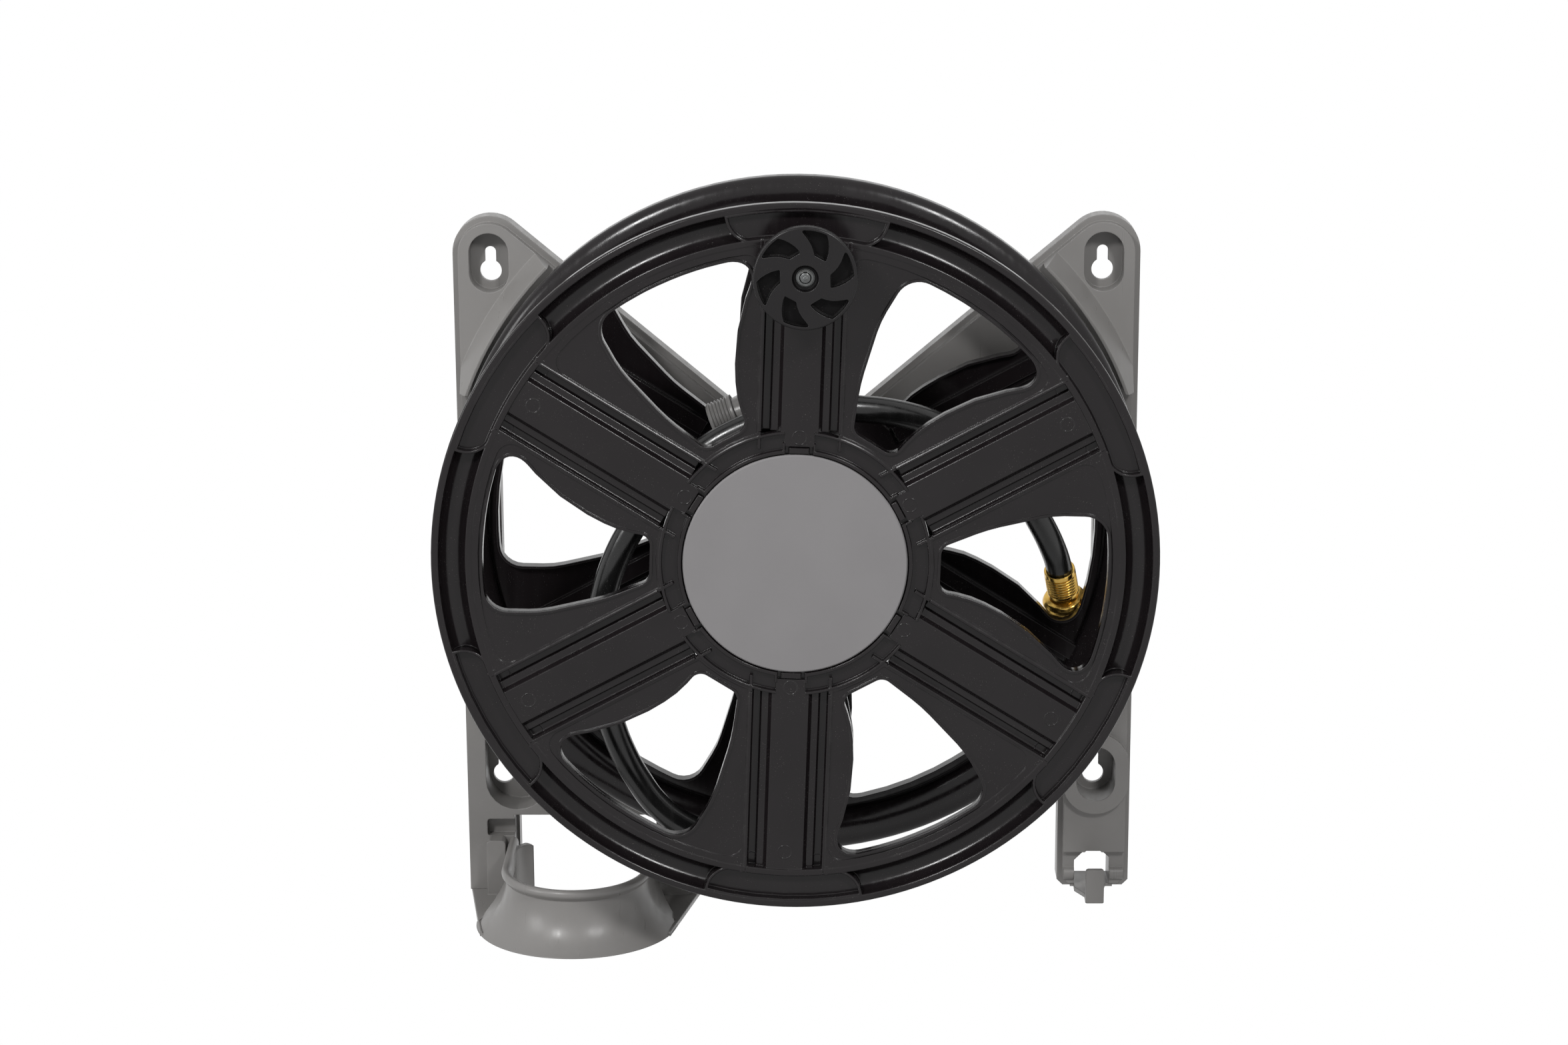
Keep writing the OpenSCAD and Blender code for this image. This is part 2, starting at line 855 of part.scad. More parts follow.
// The ring at the wall side of the drum, with the barb that the leader hose is pushed on
module inlet_ring()
  color(pale)
    difference() {
      union() {
        rod(ring_r, inlet_d - ring_half, inlet_d + ring_half);
        inlet_line(-15)
          cylinder(r = ferrule_r, h = 15);
        inlet_line(-1)
          cylinder(r = barb_r, h = barb_len + 1);
      }
      water_ring_bore(inlet_d);
      inlet_line(-18)
        cylinder(r = barb_r - 1.8, h = 19 + barb_len);
    }

// Draws along the hose's inlet line, from a distance past the start of the hose
module inlet_line(at)
  swing(inlet_angle)
    translate([hose_start, -inlet_d, 0])
      rotate([0, 0, -inlet_tilt])
        rotate([0, 90, 0])
          translate([0, 0, at])
            children();

module inlet_ring_seals()
  ring_seals(inlet_d);

module inlet_washer()
  color(steel)
    tube(ring_r - 1, axle_r + run_gap, thrust_d, thrust_d + thrust_t);

// ---------------------------------------------------------------- leader hose

module ferrule(length, rings)
  color(brass)
    difference() {
      rotate_extrude()
        polygon(concat(
          [[hose_r + 0.05, 0], [ferrule_r - 1, 0]],
          [for (i = [0 : rings - 1])
            let (z = length * i / rings, step = length / rings)
            each [
              [ferrule_r - 0.9, z + step * 0.15], [ferrule_r, z + step * 0.4],
              [ferrule_r, z + step * 0.6], [ferrule_r - 0.9, z + step * 0.85]
            ]],
          [[ferrule_r - 1, length], [hose_r + 0.05, length]]
        ));
    }

module inlet_ferrule()
  inlet_line(0)
    ferrule(inlet_ferrule_len, 4);

module end_ferrule()
  along(hose_route[last], -brass_dir)
    ferrule(end_ferrule_len, 7);

// The brass tail: a barb in the hose, a collar, and the flange that the nut turns on
module hose_tail() {
  neck_r = 8;
  color(brass)
    along(hose_route[last], brass_dir)
      difference() {
        rotate_extrude()
          polygon([
            [0, -barb_len], [barb_r - 1, -barb_len], [barb_r, -barb_len + 4], [barb_r, 0],
            [ferrule_r - 0.6, 0], [ferrule_r - 0.6, 2.5], [neck_r, 2.5], [neck_r, 8],
            [nut_bore_r - 1, 8], [nut_bore_r - 1, 10], [0, 10]
          ]);
        translate([0, 0, -barb_len - 1])
          cylinder(r = barb_r - 1.6, h = barb_len + 12);
      }
}

module swivel_nut() {
  neck_bore_r = 8.1;
  z0 = 2.8;
  flat_z = 7.7;
  color(brass)
    along(hose_route[last], brass_dir)
      difference() {
        rotate_extrude()
          polygon(concat(
            [[neck_bore_r, z0], [nut_r - 4, z0]],
            arc([nut_r - 4, z0 + 4], 4, 4, -90, 0, 5),
            [[nut_r, z0 + nut_len - 1], [nut_r - 1, z0 + nut_len]],
            [[nut_bore_r, z0 + nut_len], [nut_bore_r, flat_z], [neck_bore_r, flat_z]]
          ));
        for (a = [0 : 24 : 359])
          rotate(a)
            translate([nut_r + 0.3, 0, z0 + 6])
              cylinder(r = 0.9, h = 7, $fn = 16);
      }
}

module hose_washer()
  color(rubber)
    along(hose_route[last], brass_dir)
      translate([0, 0, 10])
        difference() {
          cylinder(r = nut_bore_r - 0.3, h = 3);
          translate([0, 0, -1])
            cylinder(r = 7, h = 5);
        }

// The hose: rings of points across its route, an outer and an inner skin and two end faces
module leader_hose() {
  n = hose_sides;
  path = [for (p = hose_route) [p[0], -p[1], p[2]]];
  steps = [for (i = [1 : last]) unit(path[i] - path[i - 1])];
  dirs = [for (i = [0 : last])
    i == 0 ? steps[0] : i == last ? steps[last - 1] : unit(steps[i - 1] + steps[i])];
  rings = [for (r = [hose_r, hose_bore_r]) for (i = [0 : last])
    let (
      u = unit(cross(dirs[i], [0, 1, 0])),
      w = cross(dirs[i], u)
    )
    for (k = [0 : n - 1])
      path[i] + r * (cos(360 * k / n) * u + sin(360 * k / n) * w)];
  skin = (last + 1) * n;
  outer = [for (i = [0 : last - 1]) for (k = [0 : n - 1])
    let (j = (k + 1) % n, a = i * n)
    [a + j, a + k, a + n + k, a + n + j]];
  inner = [for (f = outer) [for (m = [3 : -1 : 0]) f[m] + skin]];
  start = [for (k = [0 : n - 1])
    let (j = (k + 1) % n)
    [k, j, skin + j, skin + k]];
  end = [for (f = start) [for (m = [3 : -1 : 0]) f[m] + last * n]];
  color(rubber)
    polyhedron(points = rings, faces = concat(outer, inner, start, end));
}

// ---------------------------------------------------------------- crank knob

module knob_sleeve()
  color(steel)
    on_circle(knob_at, [first_spoke]) {
      tube(sleeve_r, clear_r, knob_boss_d, knob_stop_d + eps);
      tube(knob_recess_r - body_gap, clear_r, knob_stop_d, knob_stop_d + knob_flange_t);
    }

module knob_screw()
  color(steel)
    on_circle(knob_at, [first_spoke])
      screw(knob_stop_d + knob_flange_t, knob_stop_d + knob_flange_t - disc_d + 1);

module swirl_pocket()
  polygon(rounded([
    [15.8, -4.6, 1], [22, -8.6, 14], [27.4, -10.2, 2], [29.3, -1, 10], [27.6, 6, 2],
    [21.5, -0.4, 14]
  ]));

module crank_knob() {
  foot = knob_boss_d + body_gap;
  disc = knob_front - knob_disc_t;
  color(black)
    on_circle(knob_at, [first_spoke])
      difference() {
        turned()
          polygon([
            [0, foot], [knob_stem_r - 1, foot], [knob_stem_r, foot + 1],
            [knob_stem_r, disc - 4], [knob_stem_r + 4, disc], [knob_r - 1.5, disc],
            [knob_r, disc + 1.5], [knob_r, knob_front - 1.5], [knob_r - 1.5, knob_front],
            [0, knob_front]
          ]);
        rod(sleeve_r + run_gap, foot - 1, knob_front + 1);
        rod(knob_recess_r, knob_stop_d - body_gap, knob_front + 1);
        slab(knob_front - 5, knob_front + 1)
          for (k = [0 : 5])
            rotate(k * 60 + 14)
              swirl_pocket();
      }
}

// ---------------------------------------------------------------- wall frame

// A straight bar from the hub to a place on the left, as an outline
module arm_plan(turn, length, inset)
  rotate(180 - turn)
    translate([0, -half_w + inset])
      square([length, bar_w - 2 * inset]);

// The left half of the frame seen from the front: ear, two arms, rail and half hub
module half_plan(inset)
  difference() {
    union() {
      translate([-ear_x, ear_z])
        circle(half_w - inset);
      arm_plan(ear_turn, norm([ear_x, ear_z]), inset);
      arm_plan(-low_turn, norm([ear_x, key_bottom]), inset);
      translate([-rail_out_x + inset, -crossbar_z + inset])
        square([bar_w - 2 * inset, crossbar_z - inset + ear_z]);
      circle(hub_plate_r - inset);
    }
    translate([-seam - inset, -hub_plate_r - 1])
      square(2 * hub_plate_r + 2);
    bay_plan(inset);
  }

// The bay, grown by the wall or step that stands round it
module bay_plan(inset)
  polygon(grown(rounded(bay), inset));

// The part of an outline outside the drum's sweep
module beyond_drum()
  difference() {
    children();
    circle(guard_r);
  }

module cup_plan(r) {
  translate([-ear_x, key_top + cup_lift - cup_half])
    circle(r);
  translate([-ear_x, key_top + cup_lift + cup_half])
    circle(r);
  translate([-ear_x - r, key_top + cup_lift - cup_half])
    square([2 * r, 2 * cup_half]);
}

module key_plan(z) {
  translate([-ear_x, z])
    circle(key_r);
  translate([-ear_x, z + key_rise])
    circle(key_slot_r);
  translate([-ear_x - key_slot_r, z])
    square([2 * key_slot_r, key_rise]);
}

// Curved guard that keeps the hose from slipping behind the drum
module guard()
  intersection() {
    turned()
      polygon([
        [guard_r, base_d], [guard_r, guard_d], [guard_r + 2, guard_d],
        [guard_foot_r, bar_d], [guard_foot_r, base_d]
      ]);
    slab(base_d - 1, guard_d + 1)
      intersection() {
        half_plan(step_in);
        translate([-2 * flange_r, guard_low_z])
          square(2 * flange_r);
      }
  }

// The stepped shell of one half, drawn for the left side
module half_shell() {
  difference() {
    union() {
      slab(0, base_d)
        half_plan(0);
      slab(base_d - 1, bar_d)
        difference() {
          half_plan(step_in);
          circle(hub_plate_r - 2);
        }
      guard();
    }
    slab(-1, base_d - frame_wall)
      difference() {
        half_plan(frame_wall);
        circle(axle_screw_at + 6);
      }
    slab(base_d - frame_wall - 1, bar_d - frame_wall)
      difference() {
        half_plan(step_in + frame_wall);
        circle(hub_plate_r + 2);
      }
  }
  slab(key_floor - key_plate, bar_d)
    cup_plan(cup_r + frame_wall);
}

module axle_screw_pilots()
  on_circle(axle_screw_at, spoke_angles)
    rod(pilot_r, base_d - 10, base_d + 1);

// Lower left: the wide bracket, the crossbar and the two supports of the hose guide
module left_pad_plan(inset) {
  translate([-rail_out_x + inset, -rail_bottom + inset])
    square([rail_out_x - left_rail_in_x - 2 * inset, rail_bottom + bay_z0 - inset]);
  translate([-rail_out_x + inset, -rail_bottom + inset])
    square([slim_rail_w - 2 * inset, rail_bottom + pad_top_z - inset]);
  translate([-rail_out_x + inset, -crossbar_z + inset])
    square([rail_out_x - 160 - 2 * inset, crossbar_z + bay_z0 - 2 * inset]);
  translate([-rail_out_x + inset, -crossbar_z + inset])
    square([rail_out_x - strip_x1 - 2 * inset, crossbar_z - crossbar_top_z - inset]);
  translate([-strip_x0 + inset, -rail_bottom + inset])
    square([strip_x0 - strip_x1 - 2 * inset, rail_bottom - crossbar_top_z - 2 * inset]);
}

module frame_left()
  color(grey)
    difference() {
      union() {
        difference() {
          union() {
            half_shell();
            rod(spigot_plate_r, 0, base_d);
            slab(0, base_d)
              left_pad_plan(0);
            slab(base_d - 1, left_pad_d)
              beyond_drum()
                left_pad_plan(step_in / 2);
          }
          slab(-1, base_d - frame_wall)
            left_pad_plan(frame_wall);
          slab(base_d - frame_wall - 1, left_pad_d - frame_wall)
            difference() {
              left_pad_plan(step_in / 2 + frame_wall);
              circle(guard_r + frame_wall);
            }
        }
        slab(key_floor - key_plate, left_pad_d)
          beyond_drum()
            polygon(grown(rounded(left_cup), frame_wall));
        slab(base_d - 1, left_pad_d)
          intersection() {
            left_pad_plan(step_in / 2);
            polygon(grown(rounded(guide_recess), frame_wall));
          }
        slab(key_floor - key_plate, base_d)
          polygon(grown(rounded(left_cup), frame_wall));
      }
      slab(key_floor, guard_d)
        cup_plan(cup_r);
      slab(key_floor, guard_d)
        polygon(rounded(left_cup));
      slab(left_pad_d - guide_recess_deep, guard_d)
        polygon(rounded(guide_recess));
      slab(0, key_floor + 1) {
        key_plan(key_top);
        key_plan(-key_bottom);
      }
      axle_screw_pilots();
      for (x = guide_screw_x)
        translate([x, 0, guide_screw_z])
          rod(clear_r, left_pad_d - frame_wall - 1, left_pad_d + 1);
    }

// Lower right: a plain rail with a raised ring round the keyhole and a hook at its end
module right_pad_plan(inset)
  polygon([
    [-rail_out_x + inset, pad_top_z], [-rail_out_x + inset, -rail_bottom + 4 + inset],
    [-rail_out_x + inset + 4, -rail_bottom + inset],
    [-rail_in_x - inset - 4, -rail_bottom + inset],
    [-rail_in_x - inset, -rail_bottom + 4 + inset], [-rail_in_x - inset, bay_z0 - inset],
    [-bay_x - inset, bay_z0 - inset], [-bay_x - inset, pad_top_z]
  ]);

module right_cup_plan(r) {
  translate([-ear_x, -key_bottom + 1])
    circle(r);
  translate([-ear_x, -key_bottom + key_rise + 1])
    circle(r);
  translate([-ear_x - r, -key_bottom + 1])
    square([2 * r, key_rise]);
}

module hook_opening_plan()
  polygon([
    [-hook_x0, -269], [-hook_x0, -251.5], [-hook_x0 - 8, -243.5], [-hook_x1 + 6.5, -243.5],
    [-hook_x1, -249.5], [-hook_x1, -269]
  ]);

// The hook: a foot that runs out from the sill and a tongue that stands up at its end
module hook() {
  foot_z = 269;
  slab(hook_d - hook_t, hook_d)
    polygon(rounded([
      [-hook_tongue_x1, -foot_z - 3, 1], [-hook_tongue_x0, -foot_z - 3, 1],
      [-hook_tongue_x0, -hook_top_z, 2], [-hook_tongue_x1, -hook_top_z, 2]
    ]));
  translate([0, 0, -foot_z - 3])
    linear_extrude(3)
      polygon([
        [-hook_x1, -base_d], [-hook_tongue_x1, -right_pad_d - 6], [-hook_tongue_x1, -hook_d + 1],
        [-hook_tongue_x0, -hook_d + 1], [-hook_tongue_x0, -right_pad_d - 14],
        [-hook_x0, -right_pad_d - 2], [-hook_x0, -base_d]
      ]);
}

// Drawn on the left and mirrored
module frame_right()
  color(grey)
    mirror([1, 0, 0]) {
      difference() {
        union() {
          difference() {
            union() {
              half_shell();
              slab(0, base_d + 4)
                beyond_drum()
                  right_pad_plan(0);
              slab(base_d, right_pad_d)
                beyond_drum()
                  difference() {
                    right_pad_plan(step_in - 0.6);
                    translate([-rail_out_x, -rail_bottom])
                      square([bar_w, rail_bottom - hook_step_z]);
                  }
              slab(base_d, right_pad_d - 4)
                beyond_drum()
                  right_pad_plan(step_in - 0.6);
              // Rolled edge across the bottom
              translate([-rail_out_x + step_in, -right_pad_d + 5, -261])
                rotate([0, 90, 0])
                  cylinder(r = 4.5, h = bar_w - 2 * step_in);
            }
            slab(-1, base_d + 4 - frame_wall)
              difference() {
                right_pad_plan(frame_wall);
                circle(guard_r + frame_wall);
              }
            slab(base_d, right_pad_d - 4 - frame_wall)
              difference() {
                right_pad_plan(step_in + frame_wall);
                circle(guard_r + frame_wall);
              }
          }
          slab(key_floor - key_plate, right_pad_d + 4)
            beyond_drum()
              right_cup_plan(cup_r + 9.4);
          slab(key_floor - key_plate, bar_d)
            right_cup_plan(cup_r + frame_wall);
          // Walls round the hook's opening
          slab(0, right_pad_d - 5)
            difference() {
              polygon([
                [-hook_x1 - 2.5, -rail_bottom + 1], [-hook_x0 + 2.5, -rail_bottom + 1],
                [-hook_x0 + 2.5, -242], [-hook_x1 - 2.5, -242]
              ]);
              hook_opening_plan();
            }
        }
        slab(-1, guard_d)
          hook_opening_plan();
        slab(key_floor, guard_d)
          cup_plan(cup_r);
        slab(key_floor, guard_d)
          right_cup_plan(cup_r);
        slab(0, key_floor + 1) {
          key_plan(key_top);
          key_plan(-key_bottom);
        }
        rod(spigot_plate_r + 2 * seam, -1, base_d + 1);
        mirror([1, 0, 0])
          axle_screw_pilots();
      }
      hook();
    }

// ---------------------------------------------------------------- hose guide

// The section of the guide from its axis outwards: rolled lip, throat and flare
module guide_section() {
  bead = 3.2;
  lip = [throat_r + bead, -throat_z - bead];
  roll_end = -50;
  end = 70;
  neck = throat_z + 2 * bead + 1.5;
  bottom = throat_z + guide_h;
  function flare(a, r0, r1, z0, z1) =
    [r0 + (r1 - r0) * (1 - cos(a)) / (1 - cos(end)), -z0 - (z1 - z0) * sin(a) / sin(end)];
  polygon(concat(
    arc(lip, bead, bead, 180, roll_end, 9),
    [for (a = [0 : 10 : end]) flare(a, throat_r + guide_wall, flare_r, neck, bottom - 1)],
    [for (a = [end : -10 : 0]) flare(a, throat_r, flare_r - guide_wall * 0.9, neck, bottom)]
  ));
}

// The outline of a box that the guide is screwed on by
module guide_box(x, z1)
  polygon(rounded([
    [x[0], guide_box_z0, 1], [x[1], guide_box_z0, 1], [x[1], z1, 3], [x[0], z1, 3]
  ]));

// The section of the throat's straight ends, without the flare
module throat_section() {
  bead = 3.2;
  bottom = throat_z + guide_h;
  polygon(concat(
    arc([throat_r + bead, -throat_z - bead], bead, bead, 180, -50, 9),
    [[throat_r + guide_wall, -throat_z - 2 * bead], [throat_r + guide_wall, -bottom],
     [throat_r, -bottom]]
  ));
}

// A section drawn straight towards the wall, between two distances off the wall
module straight(d0, d1)
  translate([0, guide_d - d0, 0])
    rotate([90, 0, 0])
      linear_extrude(d1 - d0)
        children();

// One end of the guide, drawn for the right side about the guide's own axis
module guide_end(half) {
  knee = sheet_knee_d - guide_d;
  knee_r = sqrt(flare_r * flare_r - knee * knee);
  rim_r = flare_r - 2;
  wall_r = throat_r + guide_wall;
  straight(guide_back_d, guide_back_d + 18)
    throat_section();
  intersection() {
    straight(pocket_end_d - 4, guide_d)
      guide_section();
    translate([0, 0, -throat_z - guide_h - 1])
      linear_extrude(guide_h + 2)
        polygon([
          [throat_r - 1, -1], [throat_r - 1, guide_d - pocket_end_d + 4],
          [wall_r, guide_d - pocket_end_d + 4], [flare_r + 1, -3], [flare_r + 1, -1]
        ]);
  }
  translate([0, 0, -throat_z - guide_h])
    linear_extrude(sheet_t)
      polygon([
        [throat_r + 1, guide_d - base_d - body_gap], [throat_r + 1, guide_d - pocket_end_d],
        [rim_r, -2], [knee_r - 1.6, -knee], [knee_r, -knee],
        [half, guide_d - base_d - body_gap]
      ]);
}

module hose_guide() {
  tongue_r = 24;
  tongue_x0 = -202;
  tongue_x1 = tongue_x0 + tongue_r;
  color(grey) {
    difference() {
      union() {
        translate([-guide_x, -guide_d, 0]) {
          rotate([0, 0, 180])
            rotate_extrude(angle = 180)
              guide_section();
          guide_end(right_sheet_half);
          mirror([1, 0, 0])
            guide_end(left_sheet_half);
        }
        // Boxes that the guide is screwed on by
        slab(guide_back_d, guide_box_d)
          guide_box(left_box_x, guide_box_z1);
        slab(guide_back_d, guide_box_d)
          guide_box(right_box_x, right_box_z1);
      }
      for (x = guide_screw_x)
        translate([x, 0, guide_screw_z])
          rod(pilot_r, guide_back_d - 1, guide_box_d - 2);
    }
    // Tongue that turns the back of the throat inwards
    intersection() {
      translate([-guide_x - throat_r + tongue_r, -guide_back_d - tongue_r + 4, guide_box_z0])
        linear_extrude(right_box_z1 - guide_box_z0)
          difference() {
            circle(tongue_r + guide_wall);
            circle(tongue_r);
            translate([-2 * tongue_r, -4 * tongue_r])
              square(4 * tongue_r);
            translate([-tongue_r * 0.5, -1])
              square(2 * tongue_r);
          }
      slab(guide_back_d + body_gap, guide_back_d + 2 * tongue_r)
        polygon(rounded([
          [tongue_x0, guide_box_z0 - 1, 0], [tongue_x1, guide_box_z0 - 1, 0],
          [tongue_x1, right_box_z1, 10], [tongue_x0, right_box_z1, 0]
        ]));
    }
  }
}

module guide_screws()
  color(steel)
    for (x = guide_screw_x)
      translate([x, 0, guide_screw_z])
        rear_screw(left_pad_d - frame_wall, 10);

// ---------------------------------------------------------------- what is drawn

frame_left();
frame_right();
axle();
axle_screws();
hose_guide();
guide_screws();
axle_washer();
axle_clip();
rear_flange();
front_flange();
barrel();
rear_bush();
front_bush();
water_ring();
water_ring_seals();
outlet_elbow();
front_drum_screws();
rear_drum_screws();
hub_cap();
knob_sleeve();
knob_screw();
crank_knob();
inlet_ring();
inlet_ring_seals();
inlet_washer();
leader_hose();
inlet_ferrule();
end_ferrule();
hose_tail();
swivel_nut();
hose_washer();
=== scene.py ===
# %% [markdown]
# # A wall-mounted garden hose reel, dressed for its picture
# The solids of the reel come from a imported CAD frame: a grey wall frame, a black drum with six
# spokes, a crank knob, a leader hose with brass ends, and a bell-mouthed hose guide. This lesson
# gives them rounded edges, finer forms and moulded, plated and rubber finishes.
# The wall is the plane y = 0, the reel stands out towards -y, and the drum turns about y.

# %% Load the frame
import json
import math

import bmesh
import bpy
from mathutils import Matrix, Vector

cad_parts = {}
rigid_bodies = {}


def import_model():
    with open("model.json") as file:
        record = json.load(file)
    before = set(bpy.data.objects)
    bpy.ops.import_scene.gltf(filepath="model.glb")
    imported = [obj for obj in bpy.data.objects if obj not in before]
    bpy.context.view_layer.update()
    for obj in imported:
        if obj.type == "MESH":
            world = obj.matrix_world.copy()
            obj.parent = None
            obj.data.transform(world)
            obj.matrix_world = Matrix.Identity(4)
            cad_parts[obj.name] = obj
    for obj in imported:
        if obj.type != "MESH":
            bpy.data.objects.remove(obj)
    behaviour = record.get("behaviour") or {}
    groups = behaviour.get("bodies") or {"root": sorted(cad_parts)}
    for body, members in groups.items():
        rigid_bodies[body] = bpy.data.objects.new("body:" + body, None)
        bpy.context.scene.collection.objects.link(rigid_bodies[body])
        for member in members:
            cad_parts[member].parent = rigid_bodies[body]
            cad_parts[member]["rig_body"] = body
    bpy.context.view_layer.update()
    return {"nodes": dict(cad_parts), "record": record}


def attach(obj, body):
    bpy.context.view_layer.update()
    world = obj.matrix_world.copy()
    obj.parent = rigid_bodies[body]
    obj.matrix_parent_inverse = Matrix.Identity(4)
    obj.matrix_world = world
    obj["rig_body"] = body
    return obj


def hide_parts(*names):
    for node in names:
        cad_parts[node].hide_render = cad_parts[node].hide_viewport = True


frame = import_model()
nodes = frame["nodes"]
MM = 0.001

# %% [markdown]
# ## The camera
# A catalogue picture of a reel is taken from a little above and from far away, so that the round
# flanges stay nearly round. The camera stands 2.25 m out and looks down by 14.4 degrees. A
# tracking constraint could aim it, but its axes are worked out from the three angles, because a
# matrix leaves no doubt about the roll.

# %% Camera
yaw, pitch, roll = -0.0127, 0.2515, -0.0047
camera_place = (0.0195, -2.2459, 0.5593)
film_width, focal_length, nearest = 36, 78.31, 0.05
ahead = Vector((
    math.sin(yaw) * math.cos(pitch), math.cos(yaw) * math.cos(pitch), -math.sin(pitch),
))
level_right = Vector((math.cos(yaw), -math.sin(yaw), 0))
level_up = level_right.cross(ahead)
right = level_right * math.cos(roll) + level_up * math.sin(roll)
up = level_up * math.cos(roll) - level_right * math.sin(roll)
lens = bpy.data.cameras.new("camera")
lens.sensor_width = film_width
lens.lens = focal_length
lens.clip_start = nearest
camera = bpy.data.objects.new("camera", lens)
turn = Matrix((right, up, -ahead)).transposed().to_4x4()
camera.matrix_world = Matrix.Translation(camera_place) @ turn
bpy.context.scene.collection.objects.link(camera)
bpy.context.scene.camera = camera
print("camera at", [round(v, 3) for v in camera.location])

# %% [markdown]
# ## The leader hose
# The leader hose brings water from the tap to the drum. It is stowed inside the drum: it leaves
# the inlet ring behind the rear flange, loops once round the barrel and comes out over the rear
# flange on the right. A curve with a round bevel is the right tool for a hose, because the points
# of its route stay editable and the skin follows them smoothly. A mesh would have to be built
# again for each new bend. The route is given in millimetres, as x, distance from the wall, and z.

# %% Hose route
hose_route = [
    (7.9, 40, -37.2), (10.8, 45.7, -50.9), (13.6, 52.7, -63.9), (16, 62.2, -75.2),
    (19.4, 76.8, -91.3), (21.9, 83.7, -103.1), (26.6, 90.2, -123.6), (28.6, 93.5, -144),
    (22.1, 97, -166.8), (6.5, 100.5, -187.5), (-15.7, 104, -200.9), (-41.4, 107.5, -205),
    (-62.3, 110.5, -200.9), (-77.5, 113, -193), (-92.6, 116, -178.9), (-104, 119.5, -161),
    (-113, 123, -142), (-120, 126.5, -121), (-125, 130, -97), (-127.3, 133, -72),
    (-126.3, 136, -49), (-122, 138, -27), (-115, 140, -6), (-103, 142, 17), (-84, 143, 43),
    (-61, 143, 63.5), (-35, 142, 79), (-6, 141, 88.5), (23, 138, 91.5), (45, 133.5, 90.5),
    (67, 127, 86), (89, 118.5, 77.5), (110, 108.5, 64), (130, 97.5, 46), (147, 86.5, 25),
    (160, 75.2, 1.8), (168.6, 65, -16.9), (174.4, 53.6, -34.7), (178.2, 44.5, -54.4),
]
route = [Vector((x, -d, z)) * MM for x, d, z in hose_route]

# %% Hose curve
hose_r = 8.75 * MM
hose_curve = bpy.data.curves.new("leader_hose_skin", "CURVE")
hose_curve.dimensions = "3D"
# The bevel's own radius is 1 m, and each point scales it down to the radius of the hose.
hose_curve.bevel_depth = 1
hose_curve.bevel_resolution = 8
hose_curve.resolution_u = 6
hose_curve.use_fill_caps = True
line = hose_curve.splines.new("BEZIER")
line.bezier_points.add(len(route) - 1)
for point, place in zip(line.bezier_points, route):
    point.co = place
    point.radius = hose_r
    point.handle_left_type = point.handle_right_type = "AUTO"
leader_hose = bpy.data.objects.new("leader_hose_skin", hose_curve)
bpy.context.scene.collection.objects.link(leader_hose)
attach(leader_hose, "inlet")
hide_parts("leader_hose")
print("leader hose has", len(line.bezier_points), "points")

# %% [markdown]
# ## Shared effects as node groups
# Every moulded part shares the same small faults: cloudy colour, a fine grain, dust in the grain
# and edges that are rubbed a little paler. These could be wired into each material, but one node
# group holds them, so that each finish only sets its own values. The small helpers below add one
# kind of node each.

# %% Helpers for node trees
mix_a, mix_b, mix_out = 6, 7, 2   # the colour sockets of a Mix node


def wire(tree, source, output, target, socket):
    tree.links.new(source.outputs[output], target.inputs[socket])


def new_group(name, inputs):
    """A node group that takes the inputs and gives a colour, a roughness and a normal."""
    group = bpy.data.node_groups.new(name, "ShaderNodeTree")
    for label, kind, value in inputs:
        socket = group.interface.new_socket(name=label, in_out="INPUT", socket_type=kind)
        socket.default_value = value
    for label, kind in (("Colour", "Color"), ("Roughness", "Float"), ("Normal", "Vector")):
        group.interface.new_socket(name=label, in_out="OUTPUT", socket_type="NodeSocket" + kind)
    return group, group.nodes.new("NodeGroupInput"), group.nodes.new("NodeGroupOutput")


def noise(tree, where, scale, detail, rough=0.5):
    node = tree.nodes.new("ShaderNodeTexNoise")
    node.inputs["Scale"].default_value = scale
    node.inputs["Detail"].default_value = detail
    node.inputs["Roughness"].default_value = rough
    wire(tree, where, "Vector" if "Vector" in where.outputs else "Object", node, "Vector")
    return node


def ramp(tree, source, output, low, high):
    """A mask that runs from 0 at the low value to 1 at the high one."""
    node = tree.nodes.new("ShaderNodeMapRange")
    node.inputs["From Min"].default_value = low
    node.inputs["From Max"].default_value = high
    wire(tree, source, output, node, "Value")
    return node


def maths(tree, kind, first, second):
    node = tree.nodes.new("ShaderNodeMath")
    node.operation = kind
    tree.links.new(first, node.inputs[0])
    tree.links.new(second, node.inputs[1])
    return node


def blend_colour(tree, factor, first, second):
    node = tree.nodes.new("ShaderNodeMix")
    node.data_type = "RGBA"
    tree.links.new(factor, node.inputs["Factor"])
    tree.links.new(first, node.inputs[mix_a])
    tree.links.new(second, node.inputs[mix_b])
    return node


# %% [markdown]
# ## The skin of a moulded part
# The clouds, streaks, specks and patches are noises of different sizes. The Bevel node bends the
# normal near sharp edges, which gives them the small radius that a mould leaves. Real bevels on
# every edge would cost many faces. The place where the bent normal differs from the true one is
# where an edge is worn.

